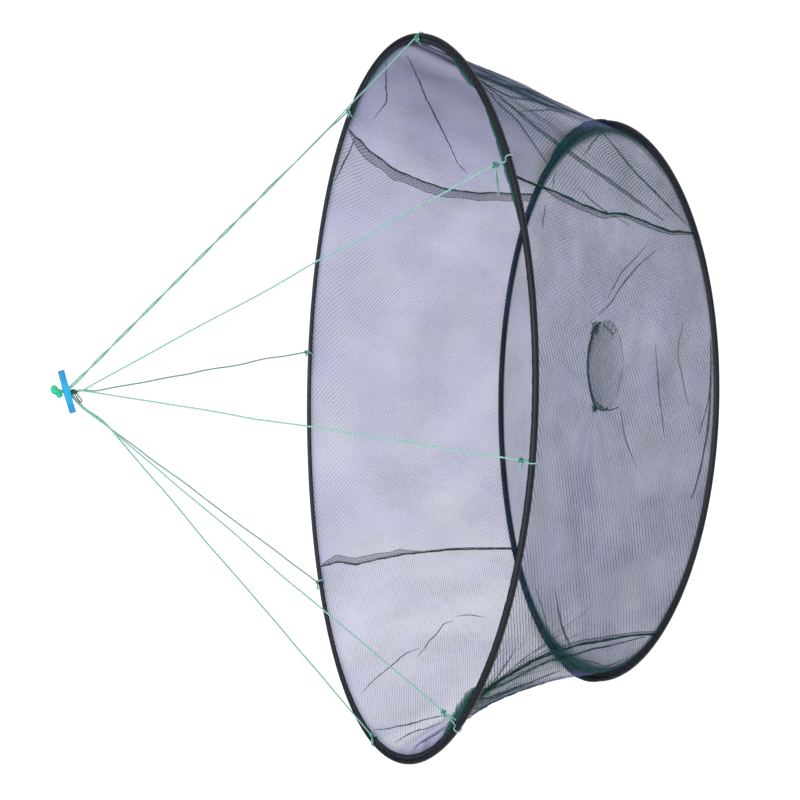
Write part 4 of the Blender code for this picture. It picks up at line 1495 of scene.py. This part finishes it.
class CRABNET_OT_pocket(bpy.types.Operator):
    """Sew the bait pocket to the base, with its drawcord and the tangle that closes it"""

    bl_idname = "crab_net.pocket"
    bl_label = "Bait pocket"

    def execute(self, context):
        low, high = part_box("bait_pocket")
        centre = (low + high) / 2
        reach = (high.x - low.x) / 2
        height = high.z - low.z
        weaver = Weaver()
        rings, sectors = 14, 72
        middle = weaver.add(self.dome(centre, reach, height, 0.0, 0.0), 0.0, 0.0, -0.15, 0.75)
        lattice = []
        for ring in range(1, rings + 1):
            row = []
            for sector in range(sectors):
                azimuth = 360 * sector / sectors
                share = ring / rings
                point = self.dome(centre, reach, height, share, azimuth)
                tight = lerp(-0.66, 0.25, min(1.0, max(0.0, 0.5 + 0.75 * (point.y - centre.y) / reach)))
                row.append(weaver.add(point, point.x - centre.x, point.y - centre.y, tight, 0.75))
            lattice.append(row)
        weaver.disc(middle, lattice)
        pleats, apart = 9, 13
        for number in range(pleats):
            turn = POCKET_OPEN + (number - pleats // 2) * apart
            self.add_gather(weaver, centre, reach, height, turn, number)
        pocket = fit(
            "pocket_netting", weaver, net_materials(), body="base_hoop", replaced="bait_pocket"
        )
        self.add_cord(centre, reach)
        return {"FINISHED"}

    def dome(self, centre, reach, height, share, azimuth):
        """A place on the pocket's crumpled top, at that share of the way from its middle to its rim."""
        radius = reach * share * (1 + 0.03 * stray(azimuth * 0.06, 0.0, 2.0) * share)
        point = centre + spot(radius, azimuth, 0.0)
        crumple = 0.0016 * stray(point.x * 70, point.y * 70, 4.0) * (1 - share**6)
        rise = (height - 0.001) * (1 - share**2) ** 1.3 * 0.9
        point.z = base_height(point.x, point.y) + 0.0008 + rise + crumple * 0.8
        return point

    def add_gather(self, weaver, centre, reach, height, turn, number):
        """A pleat that runs in from the drawn-up side of the pocket."""
        rows = []
        steps = 8
        for step in range(steps + 1):
            share = lerp(1.0, 0.45 + 0.1 * (number % 3), step / steps)
            azimuth = turn + 10 * stray(step * 0.4, number * 5.0, 1.0)
            width = 0.0011 * (1 - 0.8 * step / steps)
            row = []
            for sideways, up in ((1.0, 0.0), (0.0, 1.0), (-1.0, 0.0)):
                beside = azimuth + math.degrees(width * sideways / reach)
                point = self.dome(centre, reach, height, share, beside)
                point.z += 0.0004 + 0.0009 * up * (1 - step / steps)
                row.append(weaver.add(point, width * sideways + number, step * FOLD_STEP, 0.5 * up, 1.0))
            rows.append(row)
        weaver.bridge(rows, 1)

    def add_cord(self, centre, reach):
        """The drawcord: stout and doubled round the side that is drawn up, fine round the other."""
        weaver = Weaver()
        steps = 69
        for inset, thick, first, last in CORD_RUNS:
            path = []
            for number in range(steps + 1):
                azimuth = POCKET_OPEN + lerp(first, last, number / steps)
                wander = 0.0009 * stray(number * 0.30, thick * 9999, 3.0)
                point = centre + spot(reach - inset + wander, azimuth, 0.0)
                point.z = base_height(point.x, point.y) + 0.0012 + thick + 0.3 * inset
                path.append(point)
            add_tube(weaver, smooth_path(path, 0.0022), thick, sides=8, lobes=2, lay=0.006)
        for ends in CORD_ENDS:
            tail = [Vector((x, y, base_height(x, y) + 0.0026)) for x, y in ends]
            add_tube(weaver, smooth_path(tail, 0.0020), 0.0008, sides=7, lobes=2, lay=0.006)
        shuffle = random.Random(11)
        turn = Matrix.Rotation(math.radians(POCKET_OPEN), 3, "Z")
        for x, y, wide, count in CORD_TANGLES:
            knot = Vector((x, y, base_height(x, y) + 0.0034))
            drawn_up = overhand((wide * 0.3, wide * 0.3, 0.0016), knot, turn)
            add_tube(weaver, drawn_up, 0.0007, sides=7, blunt=False)
            for _ in range(count):
                around = []
                for _ in range(5):
                    out = shuffle.uniform(-wide, wide) * 0.6
                    aside = shuffle.uniform(-wide, wide)
                    around.append(knot + Vector((out, aside, shuffle.uniform(-0.001, 0.002))))
                add_tube(weaver, smooth_path([knot, *around], 0.0014), 0.00028, sides=5)
        fit(
            "pocket_cord", weaver, [thread_finish()],
            body="base_hoop", replaced="pocket_drawcord",
        )


# The lines, their knots and the hub

# Where the shared strands run from the gathering knot, outwards along X and down Z, with the lines in each
BUNDLES = (
    ((7, 0), ((0.0034, -0.0016), (0.0155, -0.0145), (0.1425, -0.1380), (0.2195, -0.2130))),
    ((6, 1, 5), ((0.0004, -0.0040), (0.0014, -0.0140), (0.0004, -0.0300))),
    ((2, 3, 4), ((-0.0012, -0.0040), (-0.0150, -0.0160), (-0.0320, -0.0415))),
)
# How many of a strand's stops each line keeps to before it goes its own way
KEPT_STOPS = {0: 4, 7: 4, 6: 2, 1: 3, 5: 3, 2: 2, 3: 3, 4: 3}
# How far each strand leans in Y, as a share of its way down
STRAND_LEANS = (0.0, 0.0, 0.20)


def tape_spot(number, inwards, above):
    """A place above the mouth hoop's binding where a line is tied."""
    azimuth = LINE_AZIMUTHS[number]
    return spot(hoop_radius(MOUTH, azimuth) - inwards, azimuth, MOUTH["z"] + above)


# For each knot: how far in from the wire it bears on the tape, how far above the wire, how far up
# the line it is tied, the length of its frayed tail, and how large it is
KNOTS = (
    (0.0010, 0.0040, 0.0010, 0.006, 1.0),
    (0.0010, 0.0042, 0.0022, 0.005, 1.2),
    (0.0010, 0.0040, 0.0010, 0.008, 1.0),
    (0.0070, 0.0020, 0.0030, 0.010, 1.2),
    (0.0075, 0.0020, 0.0150, 0.006, 1.4),
    (0.0060, 0.0035, 0.0065, 0.007, 1.3),
    (0.0045, 0.0035, 0.0100, 0.027, 1.6),
    (0.0010, 0.0042, 0.0010, 0.005, 1.1),
)


def line_start():
    """The middle of the gathering knot."""
    low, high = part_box("gather_knot")
    return (low + high) / 2


def knot_spot(number):
    """The middle of a line's knot, a little up the line from the tape."""
    inwards, above, along = KNOTS[number][:3]
    bearing = tape_spot(number, inwards, above)
    return bearing + (line_start() - bearing).normalized() * along


def strand_stops(number):
    """The shared strand's stops near the hub, and the line's own place round it."""
    hub = line_start()
    hub.z = 0.0
    index = next(place for place, bundle in enumerate(BUNDLES) if number in bundle[0])
    members, stops = BUNDLES[index]
    kept = KEPT_STOPS[number]
    places = [hub + Vector((out, -down * STRAND_LEANS[index], down)) for out, down in stops[:kept]]
    return places, math.tau * members.index(number) / len(members)


def line_route(number):
    """From the gathering knot, along the shared strand, then nearly straight to the knot on the hoop."""
    lines = bpy.context.scene.crab_net_lines
    places, phase = strand_stops(number)
    strand = smooth_path(places, 0.004)
    route = []
    for step, (point, (side, up)) in enumerate(zip(strand, frames_along(strand))):
        turn = phase + 0.35 * step
        route.append(point + (side * math.cos(turn) + up * math.sin(turn)) * lines.diameter * 0.56)
    start = route[-1]
    foot = knot_spot(number)
    aside = (foot - start).orthogonal().normalized()
    over = (foot - start).normalized().cross(aside)
    count = max(4, round((foot - start).length / 0.035))
    for step in range(1, count + 1):
        share = step / count
        crook = lines.crook * min(1.0, 4 * share, 5 * (1 - share))
        bend = aside * stray(share * 7, number * 7.0, 1.0) + over * stray(share * 6, number * 5.0, 2.0)
        route.append(start.lerp(foot, share) + bend * crook)
    limp = eased(smooth_path(route, 0.0010), 30)
    # Fewer points along the limp line leave it smooth between them, and the last one stays in the knot
    return smooth_path([*limp[:-5:6], limp[-1]], 0.0010)


class CRABNET_OT_lines(bpy.types.Operator):
    """Run the eight twisted lines from the gathering knot to the mouth hoop"""

    bl_idname = "crab_net.lines"
    bl_label = "Bridle lines"

    def execute(self, context):
        lines = context.scene.crab_net_lines
        hub = line_start()
        for number in range(LINE_COUNT):
            path = line_route(number)
            weaver = Weaver()
            add_tube(weaver, path, lines.diameter / 2, sides=10, lobes=2, lay=lines.lay)
            line = fit(
                f"line_{number + 1}", weaver, [line_finish()],
                body="hub", replaced=f"bridle_line_{number + 1}",
            )
            fold_up(line, hub.z)
            length = sum((b - a).length for a, b in zip(path, path[1:]))
            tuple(path[0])
        return {"FINISHED"}


def wrap_round_tape(number):
    """From the knot, over the binding, round its bead and back under it to the knot again."""
    binding = bpy.context.scene.crab_net_binding
    lines = bpy.context.scene.crab_net_lines
    azimuth = LINE_AZIMUTHS[number]
    gap = lines.diameter / 2 + 0.0001
    ring = BEAD_RADIUS + gap
    face = binding.slit + binding.leaf + gap
    root = -0.0052
    inner = -binding.mouth_reach - gap
    loop = [(root, face)]
    loop += [(ring * math.cos(turn), ring * math.sin(turn)) for turn in np.linspace(2.0, -2.0, 12)]
    loop += [(root, -face), (inner + 0.0010, -face), (inner, 0.0)]
    knot = knot_spot(number)
    path = [knot]
    for step, (out, up) in enumerate(loop):
        turn = azimuth + math.degrees((step / len(loop) - 0.5) * lines.diameter * 1.2 / MOUTH["mean"])
        out, up = tilted(out, up, binding.mouth_slope)
        path.append(spot(hoop_radius(MOUTH, turn) + out, turn, MOUTH["z"] + up))
    return [*path, knot]


class CRABNET_OT_knots(bpy.types.Operator):
    """Tie each line round the mouth hoop, with a small knot and a frayed tail"""

    bl_idname = "crab_net.knots"
    bl_label = "Line knots"

    def execute(self, context):
        cord = line_finish()
        tight = cord_finish("Tight Line", (0.012, 0.20, 0.15), (0.13, 0.58, 0.44), (0.08, 0.36, 0.28), 0.45)
        fray = cord_finish("Frayed Ends", (0.30, 0.62, 0.55), (0.55, 0.85, 0.78), (0.42, 0.72, 0.66), 0.6)
        pulled_tight = 0.85
        radius = context.scene.crab_net_lines.diameter / 2 * pulled_tight
        for number in range(LINE_COUNT):
            weaver = Weaver()
            wrap = smooth_path(wrap_round_tape(number), 0.0009)
            add_tube(weaver, wrap, radius, sides=8, lobes=2, lay=0.005)
            centre = knot_spot(number)
            heading = (line_start() - centre).normalized()
            turn = heading.to_track_quat("X", "Z").to_matrix()
            size = KNOTS[number][4]
            drawn_up = overhand((0.0021 * size, 0.0016 * size, 0.0012 * size), centre, turn)
            add_tube(weaver, drawn_up, radius, sides=8, finish=2, blunt=False)
            self.add_tail(weaver, number, centre)
            fit(
                f"tied_knot_{number + 1}", weaver, [cord, fray, tight],
                body="mouth_hoop", replaced=f"line_knot_{number + 1}",
            )
        return {"FINISHED"}

    def add_tail(self, weaver, number, centre):
        """The line's end, its two strands opening into fibres."""
        shuffle = random.Random(40 + number)
        # The net lies on its side in the photograph, and -X points down there
        down = Vector((-1.0, -0.10, -0.06)).normalized()
        length = KNOTS[number][3]
        start = centre + down * 0.001
        bend = start + down * length * 0.45 + Vector((0.0, -0.0012, 0.0008))
        end = start + down * length
        tail = smooth_path([start, bend, end], 0.0012)
        add_tube(weaver, tail, lambda share: 0.0007 * (1 - 0.6 * share), sides=7)
        fibres = 22
        for _ in range(fibres):
            root = start.lerp(end, shuffle.uniform(0.0, 0.6))
            spray = Vector([shuffle.uniform(-1, 1) for _ in range(3)])
            tip = end + down * shuffle.uniform(-0.4, 0.1) * length + spray * (0.0008 + length * 0.07)
            middle = root.lerp(tip, 0.5) + spray * 0.0005
            add_tube(weaver, smooth_path([root, middle, tip], 0.002), 0.00016, sides=4, finish=1)


# The loop that slipped out of the gathering knot's turns, from the knot's middle
SLIPPED_LOOP = (
    (0.0, -0.0016, -0.0010),
    (-0.0045, -0.0020, -0.0032),
    (-0.0096, -0.0018, -0.0068),
    (-0.0108, -0.0012, -0.0092),
    (-0.0085, -0.0004, -0.0092),
    (-0.0045, -0.0006, -0.0060),
    (0.0, 0.0, -0.0030),
)


class CRABNET_OT_hub(bpy.types.Operator):
    """Make the toggle bar, the stopper knot over it and the gathering knot under it"""

    bl_idname = "crab_net.hub"
    bl_label = "Toggle and hub knots"

    def execute(self, context):
        self.make_toggle(context.scene.crab_net_hub)
        self.make_stopper()
        self.make_gathering()
        return {"FINISHED"}

    def make_toggle(self, hub):
        """The bar with its edges rounded and its hole cut, tilted as the frame's own bar is."""
        points = np.array([point.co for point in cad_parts["toggle_bar"].data.vertices])
        tilt = -math.atan2(points[points[:, 0].argmax()][2], points[:, 0].max())
        turn = Matrix.Rotation(tilt, 4, "Y")
        flat = points @ np.array(turn.to_3x3())
        blank = self.bar_mesh(*(flat.max(0) - flat.min(0)))
        bar = link("toggle", blank, plastic_finish(hub.deep, hub.bright))
        rounding = bar.modifiers.new("rounding", "BEVEL")
        rounding.width = hub.edge
        rounding.segments = 4
        rounding.limit_method = "ANGLE"
        drill = self.add_drill(-tilt)
        hole = bar.modifiers.new("hole", "BOOLEAN")
        hole.operation = "DIFFERENCE"
        hole.object = drill
        bpy.context.view_layer.update()
        graph = bpy.context.evaluated_depsgraph_get()
        made = bpy.data.meshes.new_from_object(bar.evaluated_get(graph))
        bar.modifiers.clear()
        bpy.data.objects.remove(drill)
        bar.data = made
        bar.data.transform(turn)
        bar.data.shade_smooth()
        bar.data.set_sharp_from_angle(angle=math.radians(50))
        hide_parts("toggle_bar")
        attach(bar, "toggle")

    def bar_mesh(self, length, width, thick):
        """A flat moulded bar, a little bowed, thicker about its hole and narrower at its ends."""
        form = bmesh.new()
        bmesh.ops.create_grid(form, x_segments=46, y_segments=10, size=0.5)
        top = form.faces[:]
        lower = bmesh.ops.extrude_face_region(form, geom=top)
        pushed = [part for part in lower["geom"] if isinstance(part, bmesh.types.BMVert)]
        bmesh.ops.translate(form, verts=pushed, vec=(0, 0, 1.0))
        bmesh.ops.translate(form, verts=form.verts, vec=(0, 0, -0.5))
        bmesh.ops.recalc_face_normals(form, faces=form.faces)
        for point in form.verts:
            x, y = point.co.x * length, point.co.y * width
            level = point.co.z * thick
            boss = 0.12 * math.exp(-((x / 0.006) ** 2))
            level *= 0.94 + boss
            level += 0.00025 * (1 - (2 * x / length) ** 2)
            y *= 0.97 + 0.03 * math.cos(math.pi * x / length)
            point.co = (x, y, level)
        mesh = bpy.data.meshes.new("toggle")
        form.to_mesh(mesh)
        form.free()
        return mesh

    def add_drill(self, lean):
        """The rod that cuts the stem's hole. It leans, so the hole is upright once the bar is tilted."""
        form = bmesh.new()
        radius = 0.0019
        bmesh.ops.create_cone(form, cap_ends=True, segments=40, radius1=radius, radius2=radius, depth=0.02)
        mesh = bpy.data.meshes.new("drill")
        form.to_mesh(mesh)
        form.free()
        drill = link("drill", mesh)
        drill.rotation_euler.y = lean
        return drill

    def make_stopper(self):
        """A flattened knot round a thick core, with the stem that goes down through the bar's hole."""
        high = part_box("stopper_knot")[1]
        hub = line_start()
        head = Vector((0.0, 0.0, high.z - 0.0068))
        weaver = Weaver()
        turn = Matrix.Rotation(math.radians(-52), 3, "Y")
        add_tube(weaver, overhand((0.0058, 0.0030, 0.0021), head, turn), 0.00215, sides=12, blunt=False)
        core = [head + turn @ Vector((place * 0.0074, 0.0, 0.0)) for place in (-1.0, -0.4, 0.3, 1.0)]

        def core_radius(share):
            return 0.0036 * math.sin(math.pi * (0.1 + 0.8 * share))

        add_tube(weaver, smooth_path(core, 0.0008), core_radius, sides=12)
        low_end = Vector((0.0, 0.0, hub.z + 0.003))
        stem = [head, Vector((0.0002, 0.0, 0.004)), Vector((0.0, 0.0, 0.0)), low_end]
        add_tube(weaver, smooth_path(stem, 0.001), 0.00145, sides=10, lobes=2, lay=0.007)
        green = cord_finish(
            "Green Cord", (0.006, 0.46, 0.24), (0.03, 0.84, 0.48), (0.01, 0.62, 0.33), 0.4, fibres=7.0
        )
        fit("stopper_knot_cord", weaver, [green], body="hub", replaced="stopper_knot")

    def make_gathering(self):
        """Whipped turns round the gathered lines, with one small slipped loop left out of them."""
        hub = line_start()
        down = Vector((0.0, 0.0, -1.0))
        weaver = Weaver()
        top = hub + Vector((0.0, 0.0, 0.0022))
        whipping = curl(0.0021, turns=3.5, centre=top, axis=down, rise=0.0052, steps=18)
        add_tube(weaver, whipping, 0.0009, sides=8, lobes=2, lay=0.005)
        core = [hub + Vector((0.0, 0.0, 0.0030)), hub, hub + Vector((0.0, 0.0, -0.0048))]
        add_tube(weaver, smooth_path(core, 0.001), 0.0016, sides=10)
        loop = [hub + Vector(place) for place in SLIPPED_LOOP]
        add_tube(weaver, smooth_path(loop, 0.0007), 0.0006, sides=7)
        dark = cord_finish(
            "Dark Whipping", (0.004, 0.07, 0.045), (0.02, 0.20, 0.14), (0.01, 0.12, 0.08), 0.5, fibres=7.0
        )
        fit("gathering_knot", weaver, [dark], body="hub", replaced="gather_knot")


# The stage

# The camera at the photograph's angle: its place, which way it looks, and which way is up in its picture
CAMERA_SPOT = Vector((-0.01952, -2.43852, 0.41115))
CAMERA_AHEAD = Vector((0.00620, 0.95268, -0.30390))
CAMERA_UP = Vector((0.99990, -0.00210, 0.01384))
WHITE = (1.0, 1.0, 1.0, 1.0)


def light_path_mix(tree, plain, seen):
    """Plain for the light that the stage gives, seen for what the camera looks at, past the netting too."""
    path = tree.nodes.new("ShaderNodeLightPath").outputs
    anyway = calc(tree, "MAXIMUM", path["Is Camera Ray"], path["Is Transmission Ray"])
    mix = add_node(tree, "ShaderNodeMixShader", {0: anyway, 1: plain, 2: seen})
    return mix.outputs[0]


class CRABNET_OT_stage(bpy.types.Operator):
    """Set the camera, the soft studio light, the pale floor and the white surroundings"""

    bl_idname = "crab_net.stage"
    bl_label = "Stage"

    def execute(self, context):
        stage = context.scene.crab_net_stage
        self.set_camera(context.scene, stage.lens)
        self.set_world(context.scene)
        self.set_lamps()
        self.lay_floor(BASE["z"] - stage.floor_drop)
        context.scene.view_settings.view_transform = "Standard"
        return {"FINISHED"}

    def set_camera(self, scene, lens):
        data = bpy.data.cameras.new("camera")
        data.sensor_width = 36.0
        data.lens = lens
        data.clip_end = 100.0
        camera = bpy.data.objects.new("camera", data)
        scene.collection.objects.link(camera)
        back = -CAMERA_AHEAD.normalized()
        right = CAMERA_UP.cross(back).normalized()
        up = back.cross(right)
        turn = Matrix((right, up, back)).transposed().to_4x4()
        camera.matrix_world = Matrix.Translation(CAMERA_SPOT) @ turn
        scene.camera = camera

    def set_world(self, scene):
        """Soft white light. Gloss mirrors a dark room with a bright top, and the camera sees plain white."""
        world = bpy.data.worlds.new("studio")
        world.use_nodes = True
        tree = world.node_tree
        tree.nodes.clear()
        soft = add_node(tree, "ShaderNodeBackground", {"Color": WHITE, "Strength": 0.82})
        towards = split(tree, add_node(tree, "ShaderNodeTexCoord").outputs["Generated"])
        gloss = spread(tree, towards[2], 0.50, 1.00, 0.03, 3.6)
        mirrored = add_node(tree, "ShaderNodeBackground", {"Color": WHITE, "Strength": gloss})
        white = add_node(tree, "ShaderNodeBackground", {"Color": WHITE, "Strength": 1.0})
        out = tree.nodes.new("ShaderNodeOutputWorld")
        glossy = tree.nodes.new("ShaderNodeLightPath").outputs["Is Glossy Ray"]
        room = add_node(tree, "ShaderNodeMixShader", {0: glossy, 1: soft.outputs[0], 2: mirrored.outputs[0]})
        tree.links.new(light_path_mix(tree, room.outputs[0], white.outputs[0]), out.inputs["Surface"])
        scene.world = world

    def set_lamps(self):
        """Two large soft lamps on the camera's side, aimed at the middle of the mouth hoop."""
        for name, place, size, power in (
            ("front_softbox", (0.6, -2.4, 1.3), 1.6, 26.0),
            ("side_softbox", (-1.6, -1.8, 0.6), 1.2, 10.0),
        ):
            lamp = bpy.data.lights.new(name, "AREA")
            lamp.shape = "DISK"
            lamp.size = size
            lamp.energy = power
            holder = bpy.data.objects.new(name, lamp)
            bpy.context.scene.collection.objects.link(holder)
            holder.location = place
            aim = Vector((0.0, 0.0, MOUTH["z"])) - holder.location
            holder.rotation_euler = aim.to_track_quat("-Z", "Y").to_euler()

    def lay_floor(self, height):
        """A pale floor that keeps the net's shadow, and is lit a little more for the camera."""
        form = bmesh.new()
        bmesh.ops.create_grid(form, x_segments=1, y_segments=1, size=30.0)
        bmesh.ops.translate(form, verts=form.verts, vec=(0.0, 0.0, height))
        mesh = bpy.data.meshes.new("floor")
        form.to_mesh(mesh)
        form.free()
        material = bpy.data.materials.new("Pale Floor")
        material.use_nodes = True
        tree = material.node_tree
        tree.nodes.clear()
        pale = add_node(tree, "ShaderNodeBsdfDiffuse", {"Color": (0.80, 0.80, 0.80, 1.0)})
        glow = add_node(tree, "ShaderNodeEmission", {"Color": WHITE, "Strength": 0.45})
        lit = add_node(tree, "ShaderNodeAddShader", {0: pale.outputs[0], 1: glow.outputs[0]})
        out = tree.nodes.new("ShaderNodeOutputMaterial")
        tree.links.new(light_path_mix(tree, pale.outputs[0], lit.outputs[0]), out.inputs["Surface"])
        link("floor", mesh, material)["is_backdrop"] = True


class CRABNET_PT_build(bpy.types.Panel):
    """Each step of the build, and the sizes and colours that it reads"""

    bl_label = "Crab Net"
    bl_idname = "CRABNET_PT_build"
    bl_space_type = "VIEW_3D"
    bl_region_type = "UI"
    bl_category = "Crab Net"

    def draw(self, context):
        for operator in OPERATORS:
            self.layout.operator(operator.bl_idname)
        for group, kind in GROUPS.items():
            box = self.layout.box()
            for name in kind.__annotations__:
                box.prop(getattr(context.scene, group), name)


OPERATORS = (
    CRABNET_OT_stage,
    CRABNET_OT_lines,
    CRABNET_OT_knots,
    CRABNET_OT_hub,
    CRABNET_OT_binding,
    CRABNET_OT_wall,
    CRABNET_OT_base,
    CRABNET_OT_seams,
    CRABNET_OT_pocket,
)
CLASSES = (*GROUPS.values(), *OPERATORS, CRABNET_PT_build)


def register():
    for kind in CLASSES:
        bpy.utils.register_class(kind)
    for name, kind in GROUPS.items():
        setattr(bpy.types.Scene, name, bpy.props.PointerProperty(type=kind))


def unregister():
    for name in GROUPS:
        delattr(bpy.types.Scene, name)
    for kind in reversed(CLASSES):
        bpy.utils.unregister_class(kind)


def main():
    register()
    for operator in OPERATORS:
        group, name = operator.bl_idname.split(".")
        getattr(getattr(bpy.ops, group), name)()
    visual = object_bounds()
    boxes = {"cad": CAD_BOX, "visual": visual}
    {name: [list(corner) for corner in box] for name, box in boxes.items()}


if __name__ == "__main__":
    main()
